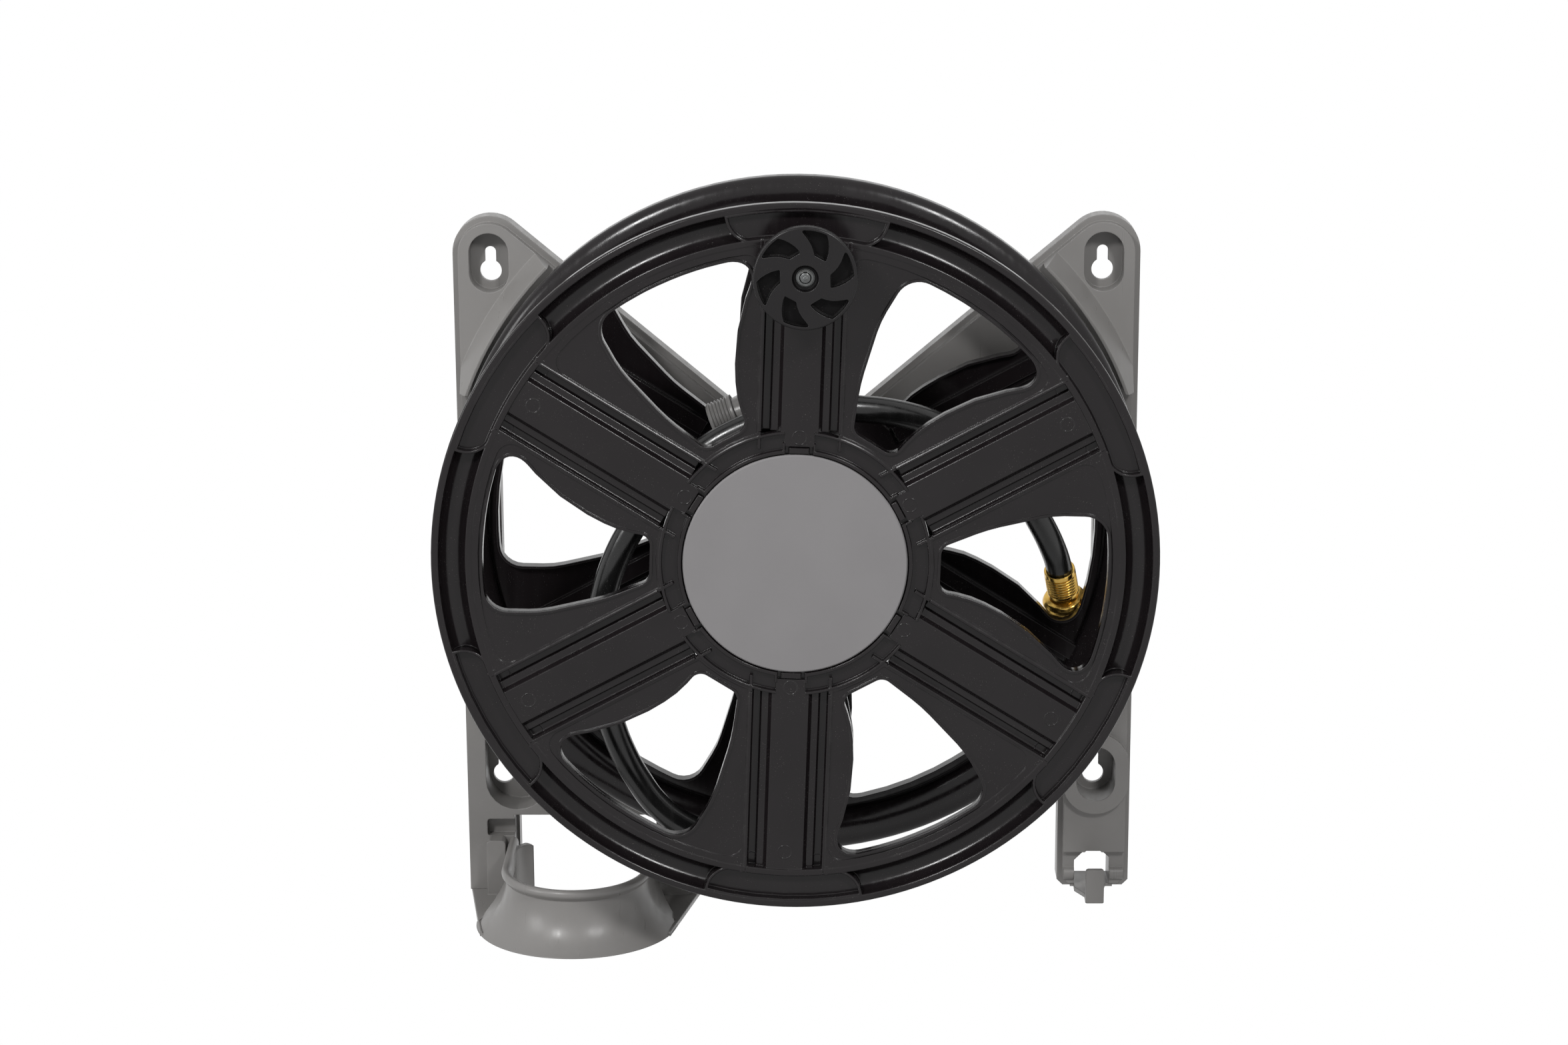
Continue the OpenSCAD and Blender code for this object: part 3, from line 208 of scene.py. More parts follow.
# %% Moulded skin: inputs and noises
skin, skin_in, skin_out = new_group("moulded_skin", [
    ("Colour", "NodeSocketColor", (0.2, 0.2, 0.2, 1)),
    ("Cloud Colour", "NodeSocketColor", (0.22, 0.22, 0.22, 1)),
    ("Worn Colour", "NodeSocketColor", (0.3, 0.3, 0.3, 1)),
    ("Dust Colour", "NodeSocketColor", (0.4, 0.4, 0.38, 1)),
    ("Dust", "NodeSocketFloat", 0.3),
    ("Wear", "NodeSocketFloat", 0.4),
    ("Low Roughness", "NodeSocketFloat", 0.35),
    ("High Roughness", "NodeSocketFloat", 0.5),
    ("Edge Radius", "NodeSocketFloat", 0.0006),
    ("Grain", "NodeSocketFloat", 0.15),
])
place = skin.nodes.new("ShaderNodeTexCoord")
clouds = noise(skin, place, scale=22, detail=4)
streak_map = skin.nodes.new("ShaderNodeMapping")
streak_map.inputs["Scale"].default_value = (260, 60, 9)
streak_map.inputs["Rotation"].default_value = (0, 0.5, 0)
wire(skin, place, "Object", streak_map, "Vector")
streaks = noise(skin, streak_map, scale=1, detail=3)
specks = noise(skin, place, scale=1500, detail=1)
patches = noise(skin, place, scale=60, detail=3)
grain = noise(skin, place, scale=2600, detail=2)
print("moulded skin takes", len(skin_in.outputs) - 1, "values")

# %% Moulded skin: colour
cloudy = ramp(skin, clouds, "Fac", low=0.35, high=0.7)
tinted = blend_colour(
    skin, cloudy.outputs[0], skin_in.outputs["Colour"], skin_in.outputs["Cloud Colour"],
)
speck_mask = ramp(skin, specks, "Fac", low=0.70, high=0.76)
patch_mask = ramp(skin, patches, "Fac", low=0.42, high=0.62)
dust_mask = maths(skin, "MULTIPLY", speck_mask.outputs[0], patch_mask.outputs[0])
dust_mask = maths(skin, "MULTIPLY", dust_mask.outputs[0], skin_in.outputs["Dust"])
dusty = blend_colour(
    skin, dust_mask.outputs[0], tinted.outputs[mix_out], skin_in.outputs["Dust Colour"],
)
eased_edge = skin.nodes.new("ShaderNodeBevel")
eased_edge.samples = 6
wire(skin, skin_in, "Edge Radius", eased_edge, "Radius")
true_face = skin.nodes.new("ShaderNodeNewGeometry")
agree = skin.nodes.new("ShaderNodeVectorMath")
agree.operation = "DOT_PRODUCT"
wire(skin, eased_edge, "Normal", agree, 0)
wire(skin, true_face, "Normal", agree, 1)
edge_mask = ramp(skin, agree, "Value", low=0.995, high=0.86)
worn_mask = maths(skin, "MULTIPLY", edge_mask.outputs[0], patch_mask.outputs[0])
worn_mask = maths(skin, "MULTIPLY", worn_mask.outputs[0], skin_in.outputs["Wear"])
worn = blend_colour(
    skin, worn_mask.outputs[0], dusty.outputs[mix_out], skin_in.outputs["Worn Colour"],
)
wire(skin, worn, mix_out, skin_out, "Colour")
print("moulded skin has its colour")

# %% Moulded skin: roughness and normal
shine = ramp(skin, streaks, "Fac", low=0.3, high=0.7)
wire(skin, skin_in, "Low Roughness", shine, "To Min")
wire(skin, skin_in, "High Roughness", shine, "To Max")
dull = maths(skin, "ADD", shine.outputs[0], dust_mask.outputs[0])
wire(skin, dull, 0, skin_out, "Roughness")
relief = skin.nodes.new("ShaderNodeBump")
relief.inputs["Distance"].default_value = 0.00008
wire(skin, skin_in, "Grain", relief, "Strength")
wire(skin, grain, "Fac", relief, "Height")
wire(skin, eased_edge, "Normal", relief, "Normal")
wire(skin, relief, "Normal", skin_out, "Normal")
print("moulded skin group has", len(skin.nodes), "nodes")

# %% [markdown]
# ## Plastic finishes
# The frame, guide and cap are satin grey polypropylene and the drum is the same plastic in
# black. Each finish is a Principled BSDF that the group feeds. The constant values, such as the
# specular level, are set on the shader's own sockets, where an exporter can find them.


# %% Making a finish
def plain(value):
    return (value[0], value[1], value[2], 1)


def finish_from(group, name, values):
    """A Principled finish whose colour, roughness and normal come from a group."""
    finish = bpy.data.materials.new(name)
    finish.use_nodes = True
    finish.diffuse_color = values["Colour"]
    tree = finish.node_tree
    shader = tree.nodes["Principled BSDF"]
    effect = tree.nodes.new("ShaderNodeGroup")
    effect.node_tree = group
    for label, value in values.items():
        effect.inputs[label].default_value = value
    wire(tree, effect, "Colour", shader, "Base Color")
    wire(tree, effect, "Roughness", shader, "Roughness")
    wire(tree, effect, "Normal", shader, "Normal")
    return finish, shader


def moulded(name, colour, cloud, worn_tone, dust_tone, dust, wear, low, high, edge, depth, level):
    """A plastic finish: its tones, how much dust and wear, its roughness, edges and shine."""
    finish, shader = finish_from(skin, name, {
        "Colour": plain(colour), "Cloud Colour": plain(cloud), "Worn Colour": plain(worn_tone),
        "Dust Colour": plain(dust_tone), "Dust": dust, "Wear": wear, "Low Roughness": low,
        "High Roughness": high, "Edge Radius": edge, "Grain": depth,
    })
    shader.inputs["Specular IOR Level"].default_value = level
    return finish


# %% Plastic finishes
grey_plastic = moulded(
    "grey_polypropylene", (0.208, 0.201, 0.194), (0.224, 0.217, 0.211), (0.33, 0.32, 0.31),
    (0.42, 0.41, 0.39), dust=0.25, wear=0.30, low=0.27, high=0.40, edge=0.0010, depth=0.2,
    level=0.4,
)
cap_plastic = moulded(
    "grey_cap_polypropylene", (0.215, 0.208, 0.211), (0.226, 0.219, 0.222), (0.33, 0.32, 0.32),
    (0.42, 0.41, 0.39), dust=0.2, wear=0.25, low=0.40, high=0.5, edge=0.0006, depth=0.2,
    level=0.3,
)
black_plastic = moulded(
    "black_polypropylene", (0.0086, 0.0068, 0.0075), (0.0112, 0.0092, 0.0100),
    (0.045, 0.043, 0.043), (0.2, 0.19, 0.18), dust=0.4, wear=0.5, low=0.13, high=0.24,
    edge=0.0008, depth=0.12, level=0.27,
)
knob_plastic = moulded(
    "black_knob_polypropylene", (0.0080, 0.0070, 0.0076), (0.0100, 0.0090, 0.0096),
    (0.06, 0.058, 0.058), (0.2, 0.19, 0.18), dust=0.3, wear=0.6, low=0.24, high=0.36,
    edge=0.0007, depth=0.3, level=0.24,
)
# A rougher black for the knob's pockets, whose darker colour is painted shade for the pockets.
pocket_shade_plastic = moulded(
    "black_matt_painted_shade_polypropylene", (0.0036, 0.0032, 0.0034), (0.0048, 0.0044, 0.0046),
    (0.06, 0.058, 0.058), (0.2, 0.19, 0.18), dust=0.3, wear=0.5, low=0.40, high=0.52,
    edge=0.0005, depth=0.3, level=0.08,
)
pale_plastic = moulded(
    "natural_acetal", (0.47, 0.46, 0.43), (0.5, 0.49, 0.46), (0.6, 0.59, 0.56),
    (0.3, 0.29, 0.27), dust=0.2, wear=0.2, low=0.3, high=0.45, edge=0.0004, depth=0.1, level=0.4,
)
print("plastic finishes are ready")

# %% Rubber and vinyl finishes
seal_rubber = moulded(
    "seal_rubber", (0.012, 0.012, 0.012), (0.018, 0.018, 0.018), (0.04, 0.04, 0.04),
    (0.2, 0.2, 0.19), dust=0.3, wear=0.3, low=0.5, high=0.7, edge=0.0003, depth=0.4, level=0.3,
)
hose_vinyl = moulded(
    "black_vinyl", (0.0065, 0.0065, 0.0065), (0.009, 0.009, 0.009), (0.03, 0.03, 0.03),
    (0.2, 0.2, 0.19), dust=0.25, wear=0.2, low=0.16, high=0.30, edge=0.0003, depth=0.1,
    level=0.45,
)
leader_hose.data.materials.append(hose_vinyl)
print("rubber and vinyl finishes are ready")

# %% [markdown]
# ## Metal finishes
# The screws are zinc plated and the hose ends are lacquered brass. Plating is uneven, so a noise
# moves both the tone and the roughness, and fine bumps break up the reflections. A plain metal
# with one colour would look like a mirror, which is why the metals get a group of their own.

# %% Plated skin
metal_skin, metal_in, metal_out = new_group("plated_skin", [
    ("Colour", "NodeSocketColor", (0.5, 0.5, 0.5, 1)),
    ("Stain Colour", "NodeSocketColor", (0.4, 0.4, 0.4, 1)),
    ("Low Roughness", "NodeSocketFloat", 0.25),
    ("High Roughness", "NodeSocketFloat", 0.4),
    ("Edge Radius", "NodeSocketFloat", 0.0003),
    ("Grain", "NodeSocketFloat", 0.2),
])
metal_place = metal_skin.nodes.new("ShaderNodeTexCoord")
stain = noise(metal_skin, metal_place, scale=180, detail=4, rough=0.6)
scratch = noise(metal_skin, metal_place, scale=1400, detail=3, rough=0.6)
stain_mask = ramp(metal_skin, stain, "Fac", low=0.4, high=0.65)
stained = blend_colour(
    metal_skin, stain_mask.outputs[0], metal_in.outputs["Colour"],
    metal_in.outputs["Stain Colour"],
)
wire(metal_skin, stained, mix_out, metal_out, "Colour")
metal_shine = ramp(metal_skin, stain, "Fac", low=0, high=1)
wire(metal_skin, metal_in, "Low Roughness", metal_shine, "To Min")
wire(metal_skin, metal_in, "High Roughness", metal_shine, "To Max")
wire(metal_skin, metal_shine, 0, metal_out, "Roughness")
metal_edge = metal_skin.nodes.new("ShaderNodeBevel")
metal_edge.samples = 6
wire(metal_skin, metal_in, "Edge Radius", metal_edge, "Radius")
metal_relief = metal_skin.nodes.new("ShaderNodeBump")
metal_relief.inputs["Distance"].default_value = 0.00006
wire(metal_skin, metal_in, "Grain", metal_relief, "Strength")
wire(metal_skin, scratch, "Fac", metal_relief, "Height")
wire(metal_skin, metal_edge, "Normal", metal_relief, "Normal")
wire(metal_skin, metal_relief, "Normal", metal_out, "Normal")
print("plated skin group has", len(metal_skin.nodes), "nodes")


# %% Metal finishes
def plated(name, colour, stain_tone, low, high, edge, depth):
    """A metal finish: its tones, its roughness, its edges and the depth of its grain."""
    finish, shader = finish_from(metal_skin, name, {
        "Colour": plain(colour), "Stain Colour": plain(stain_tone), "Low Roughness": low,
        "High Roughness": high, "Edge Radius": edge, "Grain": depth,
    })
    shader.inputs["Metallic"].default_value = 1
    return finish


brass = plated(
    "lacquered_brass", (0.66, 0.43, 0.11), (0.56, 0.35, 0.085), low=0.16, high=0.26,
    edge=0.0003, depth=0.12,
)
# The zinc's tones are kept much darker than bright zinc, so that the knob's screw shows dark.
zinc = plated(
    "zinc_plate", (0.14, 0.145, 0.145), (0.08, 0.08, 0.078), low=0.20, high=0.36,
    edge=0.0002, depth=0.3,
)
print("metal finishes are ready")

# %% [markdown]
# ## Giving the CAD parts their finish
# A CAD part whose shape is right only needs a finish. Its mesh stays as it is, and the finish
# goes into its material slot.

# %% Finishes of the CAD parts
finish_of = {
    "grey": grey_plastic, "cap": cap_plastic, "black": black_plastic, "pale": pale_plastic,
    "steel": zinc, "brass": brass, "hose": hose_vinyl, "seal": seal_rubber,
}
slot_of = {part["node"]: part["material_slot"] for part in frame["record"]["subparts"]}
body_of = {name: obj["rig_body"] for name, obj in nodes.items()}
for name, obj in nodes.items():
    obj.data.materials.clear()
    obj.data.materials.append(finish_of[slot_of[name]])
print("finishes given to", len(nodes), "CAD parts")

# %% [markdown]
# ## Smooth copies of moulded parts
# The CAD parts arrive as loose flat triangles. Where the shape is right but its round faces
# should look round, a merged copy is made: doubles are removed, flat areas are dissolved into
# single faces, every edge sharper than 30 degrees is marked sharp, and the rest is shaded
# smooth. The copy then stands for the CAD part.

# %% Smooth copies
weld, cad_weld = 0.000002, 0.00001   # metres
flat_angle = 0.01                    # radians


def as_piece(bm, name, node_names, sharp=30):
    """Makes a piece of a finished bmesh, which stands for the CAD parts in the list."""
    bmesh.ops.remove_doubles(bm, verts=bm.verts, dist=weld)
    bmesh.ops.triangulate(bm, faces=[face for face in bm.faces if len(face.verts) > 4])
    bmesh.ops.recalc_face_normals(bm, faces=bm.faces)
    for face in bm.faces:
        face.smooth = True
    for edge in bm.edges:
        edge.smooth = len(edge.link_faces) == 2 and edge.calc_face_angle(0) < math.radians(sharp)
    mesh = bpy.data.meshes.new(name)
    bm.to_mesh(mesh)
    bm.free()
    piece = bpy.data.objects.new(name, mesh)
    bpy.context.scene.collection.objects.link(piece)
    mesh.materials.append(finish_of[slot_of[node_names[0]]])
    even = piece.modifiers.new("even_shading", "WEIGHTED_NORMAL")
    even.keep_sharp = True
    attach(piece, body_of[node_names[0]])
    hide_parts(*node_names)
    print(name, "has", len(mesh.polygons), "faces")
    return piece


def smooth_copy(node):
    bm = bmesh.new()
    bm.from_mesh(nodes[node].data)
    bmesh.ops.remove_doubles(bm, verts=bm.verts, dist=cad_weld)
    bmesh.ops.dissolve_limit(
        bm, angle_limit=flat_angle, verts=bm.verts, edges=bm.edges, delimit=set(),
    )
    return as_piece(bm, node + "_moulding", [node])


for node in ("frame_left", "frame_right", "hose_guide", "rear_flange", "barrel", "hub_cap",
             "outlet_elbow", "axle", "water_ring", "inlet_ring", "axle_washer", "inlet_washer"):
    smooth_copy(node)

# %% [markdown]
# ## Small tools for moulded forms
# A moulded part is mostly plates, ribs and turned rings. Each one starts as a flat face whose
# corners are rounded with a vertex bevel. The face is then pushed out into a plate or framed
# into a thin wall with an inset. Boolean cuts could give the same forms, but they leave untidy
# faces. Everything is drawn in millimetres, with the drum's axis along y, and made metres when
# the part is put together.

# %% Flat faces and plates
arc_step = 0.2       # radians of a rounded corner for each of its segments
in_plane = 0.001     # millimetres off a plane
corner_turn = 0.6    # radians, the least turn at an edge that is eased
crest_share = 0.42   # of a wall's width, for the round on each side of its crest


def rounded_face(points, radii):
    """A new bmesh with one flat face, whose corners are rounded by their radii."""
    bit = bmesh.new()
    made = [bit.verts.new(point) for point in points]
    bit.faces.new(made)
    for vert, radius in zip(made, radii):
        if not radius:
            continue
        one, two = [edge.other_vert(vert).co - vert.co for edge in vert.link_edges]
        opening = one.angle(two)
        bmesh.ops.bevel(
            bit, geom=[vert], offset=radius / math.tan(opening / 2), offset_type="OFFSET",
            affect="VERTICES", segments=max(2, round((math.pi - opening) / arc_step)),
            profile=0.5, material=-1,
        )
    return bit


def across_axis(corners, depth):
    """A flat face across the axis, from corners given as (x, z, corner radius)."""
    return rounded_face([(x, depth, z) for x, z, r in corners], [r for x, z, r in corners])


def push(bit, step):
    """Pushes a flat face out into a solid."""
    pushed = bmesh.ops.extrude_face_region(bit, geom=bit.faces[:])
    moved = [part for part in pushed["geom"] if isinstance(part, bmesh.types.BMVert)]
    bmesh.ops.translate(bit, verts=moved, vec=step)
    bmesh.ops.recalc_face_normals(bit, faces=bit.faces)
    return bit


def ease_front(bit, front, width):
    """Rounds the edges that lie in the front plane of a plate."""
    edges = [
        edge for edge in bit.edges
        if all(abs(vert.co.y - front) < in_plane for vert in edge.verts)
        and edge.calc_face_angle(0) > corner_turn
    ]
    bmesh.ops.bevel(bit, geom=edges, offset=width, offset_type="OFFSET", affect="EDGES",
                    segments=3, profile=0.5, material=-1)
    return bit


def plate(corners, start, thickness, edge=0.0):
    """A plate across the axis, from corners given as (x, z, corner radius)."""
    bit = push(across_axis(corners, start), (0, thickness, 0))
    return ease_front(bit, start, edge) if edge else bit


def wall(corners, width, start, depth):
    """A thin wall that follows an outline, with a rounded crest."""
    bit = across_axis(corners, start)
    bmesh.ops.inset_region(
        bit, faces=bit.faces[:], thickness=width, use_even_offset=True, use_boundary=True,
    )
    middle = max(bit.faces, key=lambda face: face.calc_area())
    bmesh.ops.delete(bit, geom=[middle], context="FACES")
    push(bit, (0, depth, 0))
    return ease_front(bit, start, width * crest_share)


print("a square corner gets", round(math.pi / 2 / arc_step), "segments")

# %% [markdown]
# ## Rings and joining
# A turned ring is one section that is spun about the axis. A whole part is then joined from its
# bits, each of which can be put in several places, as the ribs of a moulding repeat.

# %% Rings and joining
def spun(corners, start=0.0, sweep=360.0, steps=144):
    """A ring about the axis, from a section given as (radius, depth, corner radius)."""
    bit = rounded_face([(r, t, 0) for r, t, radius in corners], [c[2] for c in corners])
    back = Matrix.Rotation(-math.radians(start), 3, "Y")
    bmesh.ops.rotate(bit, verts=bit.verts, cent=(0, 0, 0), matrix=back)
    if sweep == 360:
        bmesh.ops.delete(bit, geom=bit.faces[:], context="FACES_ONLY")
    bmesh.ops.spin(
        bit, geom=bit.verts[:] + bit.edges[:] + bit.faces[:], cent=(0, 0, 0), axis=(0, 1, 0),
        angle=-math.radians(sweep), steps=steps, use_merge=sweep == 360,
    )
    return bit


def put(whole, bit, moves=(Matrix(),)):
    """Adds a bit to a part, once for each move."""
    loose = bpy.data.meshes.new("loose")
    bmesh.ops.recalc_face_normals(bit, faces=bit.faces)
    bit.to_mesh(loose)
    bit.free()
    for move in moves:
        copy = loose.copy()
        copy.transform(move)
        whole.from_mesh(copy)
        bpy.data.meshes.remove(copy)
    bpy.data.meshes.remove(loose)


def about_axis(degrees):
    return Matrix.Rotation(-math.radians(degrees), 4, "Y")


def polar(radius, degrees):
    return (radius * math.cos(math.radians(degrees)), radius * math.sin(math.radians(degrees)))


print("90 degrees points along", [round(part, 3) for part in polar(1, 90)], "in x and z")

# %% [markdown]
# ## The front flange
# The flange is one moulding: a rim like a gutter, six deep spokes with a flat band, thin sheets
# between them with big windows, a pocket in the rim at each spoke, and rings round the hub cap.
# Each of these forms is made by itself and turned to its six places. They overlap a little, as
# ribs do in a mould, and every crest gets its small radius.

# %% Sections and outlines of the flange
spokes, spoke_step, phase = 6, 60, -2.2
first_spoke = 90 + phase
spoke_turns = [about_axis(first_spoke + spoke_step * k) for k in range(spokes)]
window_turns = [about_axis(phase + spoke_step * k) for k in range(spokes)]
rim_section = [
    (224.5, 0, 1.6), (229.4, 0, 1.6), (229.4, 9.5, 6), (222, 15, 6), (211, 15, 6),
    (203.5, 9.5, 6), (203.5, 0, 1.3), (208.1, 0, 1.3), (208.1, 11, 8), (224.5, 11, 8),
]
# Half of a spoke's section and its underside, as (depth, distance from its middle, corner).
spoke_half = [
    (0, 26, 0.9), (0, 24, 0.9), (8, 24, 1.5), (8, 18.5, 1), (4.5, 18.5, 1), (4.5, 14, 1),
    (1.2, 11.5, 1),
]
spoke_under = [(4, 10.5, 0), (7.2, 12.5, 0), (7.2, 16, 0), (10.7, 16, 0), (10.7, 26, 0)]
window = (
    [(91.5, -15, 7), (112, -18, 60), (150, -37, 110), (182.6, -73.4, 12)]
    + [(*polar(197, a), 185) for a in (-15, -10, -5)]
    + [(*polar(197, 0), 100), (*polar(197, 4), 0), (194.5, 38, 15), (160, 37.5, 60)]
    + [(120, 27, 100), (91.5, 14.5, 7)]
)
pocket = (
    [(*polar(225.5, -13.1), 0), (*polar(206, -13.1), 17)]
    + [(*polar(206, a), 190) for a in (-3, 0, 3)]
    + [(*polar(206, 13.1), 17), (*polar(225.5, 13.1), 0)]
    + [(*polar(225.5, a), 0) for a in (9, 5, 0, -5, -9)]
)
print("a window has", len(window), "corners and a pocket", len(pocket))

# %% [markdown]
# ## Spokes and sheets
# A spoke is a bar from the hub to the rim, and a sheet fills the space between two spokes. The
# bar could be built from boxes, but one section that is pushed outwards stays a clean solid.
# The sheet is filled between its own outline and the window's, which needs no boolean cut.

# %% Spokes and the sheets between them
def mirrored(section):
    return [(t, -z, r) for t, z, r in reversed(section)]


def spoke_bar(inner, outer):
    section = spoke_half + mirrored(spoke_half) + mirrored(spoke_under) + spoke_under
    bit = rounded_face([(inner, t, z) for t, z, r in section], [r for t, z, r in section])
    return push(bit, (outer - inner, 0, 0))


def side_point(radius, side, half, corner=0.0):
    """A point beside the next spoke, seen from the middle of a window."""
    along = math.sqrt(radius ** 2 - half ** 2)
    turn = math.radians(spoke_step / 2 * side)
    x = along * math.cos(turn) + half * abs(math.sin(turn))
    return (x, along * math.sin(turn) - side * half * math.cos(turn), corner)


def sector(inner, outer, half, corner=0.0):
    """The outline between two spokes, from the hub to the rim."""
    return (
        [side_point(inner, -1, half)] + [(*polar(inner, a), 0) for a in (-8, 0, 8)]
        + [side_point(inner, 1, half), side_point(outer, 1, half, corner)]
        + [(*polar(outer, a), 0) for a in range(16, -17, -4)]
        + [side_point(outer, -1, half, corner)]
    )


def holed_plate(edge, hole, start, thickness):
    """A plate with one opening, as a sheet between two outlines."""
    bit = across_axis(edge, start)
    put(bit, across_axis(hole, start))
    bmesh.ops.delete(bit, geom=bit.faces[:], context="FACES_ONLY")
    bmesh.ops.triangle_fill(bit, use_beauty=True, use_dissolve=False, edges=bit.edges[:])
    return push(bit, (0, thickness, 0))


print("a spoke's section has", 2 * len(spoke_half + spoke_under), "corners")

# %% Large forms of the flange
front = bmesh.new()
put(front, spun(rim_section, steps=180))
put(front, spoke_bar(85, 205), spoke_turns)
put(front, holed_plate(sector(84.6, 204.5, 25), window, 1.2, 2.8), window_turns)
rib_outline, rib_hole = sector(84.8, 204.2, 25.2), sector(87.5, 199.6, 26.9, 10)
put(front, holed_plate(rib_outline, rib_hole, 0.5, 2), window_turns)
put(front, wall(window, -1.7, 0, 9), window_turns)
put(front, wall(pocket, 2.0, 0.3, 10.7), spoke_turns)
put(front, plate(pocket, 6, 5), spoke_turns)
print("the flange's large forms have", len(front.faces), "faces")

# %% [markdown]
# ## Hub, ribs and marks
# Round the hub cap the moulding has low rings, short ribs, clips that hold the cap, and the
# small round marks that the mould's ejector pins leave. A bump map could fake the marks, but
# real rings catch the light from every side. The boss for the knob stands on one spoke.

# %% Hub of the flange
hub_in, hub_out = 70.4, 85
hub_wall = [(84, 0, 0.8), (86, 0, 0.8), (86, 6.8, 0), (84, 6.8, 0)]
for k in range(spokes):
    put(front, spun(hub_wall, 96.4 + phase + spoke_step * k, 47.2, 24))
hub_bridge = [(75.8, -9.4, 0), (hub_out, -9.4, 0), (hub_out, 9.4, 0), (75.8, 9.4, 0)]
put(front, plate(hub_bridge, 1.2, 4.6), spoke_turns)
put(front, spun([(hub_in, 4, 0), (hub_out, 4, 0), (hub_out, 6.8, 0), (hub_in, 6.8, 0)]))
put(front, spun([(hub_in, 4.5, 0), (72.8, 4.5, 0), (72.8, 18, 0.6), (hub_in, 18, 0.6)]))
print("with its hub it has", len(front.faces), "faces")


# %% Ribs, gussets and ejector marks
def bar(inner, outer, near, far):
    """The outline of a short straight rib along a spoke."""
    return [(inner, near, 0), (outer, near, 0), (outer, far, 0), (inner, far, 0)]


for side in (1, -1):
    hub_rib = bar(73.5, 84.6, side * -26.2, side * -24.2)
    cheek = bar(72.6, 78, side * 8.8, side * 10.4)
    gusset = bar(200.5, 206.5, side * 26.4, side * 28.2)
    put(front, plate(hub_rib, 0.4, 4.4, 0.5), spoke_turns)
    put(front, plate(cheek, 0.2, 4.6, 0.5), spoke_turns)
    put(front, plate(gusset, 0.2, 3, 0.6), spoke_turns)
band_face, groove_face = 1.02, 7.85
marks = ((0, 81.5, band_face), (0, 192, band_face), (-21.3, 199, groove_face),
         (21.3, 199, groove_face))
for across, out, level in marks:
    ring = spun([(4.2, 0, 0), (4.6, 0, 0), (4.6, 1, 0), (4.2, 1, 0)], steps=32)
    put(front, ring, [turn @ Matrix.Translation((out, level, across)) for turn in spoke_turns])
print("with its ribs it has", len(front.faces), "faces")

# %% Cap seat and knob boss
knob_spot = polar(188.5, first_spoke)
clip = [(71.3, -6.3, 0.6), (75.2, -6.3, 0.6), (75.2, 6.3, 0.6), (71.3, 6.3, 0.6)]
for k in range(spokes):
    turn = first_spoke + spoke_step * k
    put(front, spun([(71.6, 0, 0.7), (74.1, 0, 0.7), (74.1, 5, 0), (71.6, 5, 0)], turn + 7, 46, 24))
    put(front, plate(clip, 0.3, 4.6, 0.6), [about_axis(turn)])
put(front, spun([
    (16.1, 8, 0), (71.8, 8, 0), (71.8, 10.8, 0), (22.1, 10.8, 0), (22.1, 26, 0), (19.1, 26, 0),
    (19.1, 12, 0), (16.1, 12, 0),
]))
boss = spun([(2.45, -3, 0), (13, -3, 1.2), (13, 10, 0), (2.45, 10, 0)], steps=48)
put(front, boss, [Matrix.Translation((knob_spot[0], 0, knob_spot[1]))])
flange_front = 176
at_flange = Matrix.Translation((0, -flange_front * MM, 0)) @ Matrix.Diagonal((MM, MM, MM, 1))
bmesh.ops.transform(front, matrix=at_flange, verts=front.verts)
as_piece(front, "front_flange_moulding", ["front_flange"])

# %% [markdown]
# ## The crank knob
# The knob is a wheel on a hollow stem, with six swirled pockets in its face. The stem, the disc
# and the stepped recess are one section that is spun. The face is then filled between its rim,
# its recess and the open cups of the pockets, so that it is all one skin. The pocket faces get a
# rougher finish than the worn face, with a darker colour that paints the shade in the pockets.

# %% Knob pockets
swirl = [
    (12.5, 10.5, 0.8), (15.9, 19.4, 20), (13.2, 26.7, 1.3), (9.2, 28.5, 22), (2.5, 29.8, 22),
    (-2.7, 29.7, 1.1), (4.1, 21, 16), (5.5, 14.3, 1.4),
]


def cup(outline, depth, ledge, sink):
    """An open pocket with a ledge round its floor."""
    bit = push(across_axis(outline, 0), (0, depth, 0))
    mouth = [face for face in bit.faces if face.calc_center_median().y < in_plane]
    bmesh.ops.delete(bit, geom=mouth, context="FACES_ONLY")
    floor_face = [face for face in bit.faces if face.calc_center_median().y > depth - in_plane]
    bmesh.ops.inset_region(bit, faces=floor_face, thickness=ledge, use_even_offset=True)
    sunk = bmesh.ops.extrude_face_region(bit, geom=floor_face)
    low = [part for part in sunk["geom"] if isinstance(part, bmesh.types.BMVert)]
    bmesh.ops.translate(bit, verts=low, vec=(0, sink, 0))
    bmesh.ops.delete(bit, geom=floor_face, context="FACES_ONLY")
    return bit


print("a pocket's outline has", len(swirl), "corners")

# %% Knob body
flush = 0.0001   # millimetres off the face
knob = spun([
    (8.2, 0, 0.5), (31.9, 0, 1.5), (31.9, 8, 1.5), (19, 8, 2), (15, 13, 2), (15, 30.7, 1),
    (6.1, 30.7, 0), (6.1, 6.3, 0), (8.3, 6.3, 0), (8.3, 4.2, 0), (5.7, 4.2, 0), (5.7, 3.2, 0.4),
    (7.2, 3, 0.6),
], steps=96)


def in_face(part):
    return all(abs(vert.co.y) < flush for vert in part.verts)


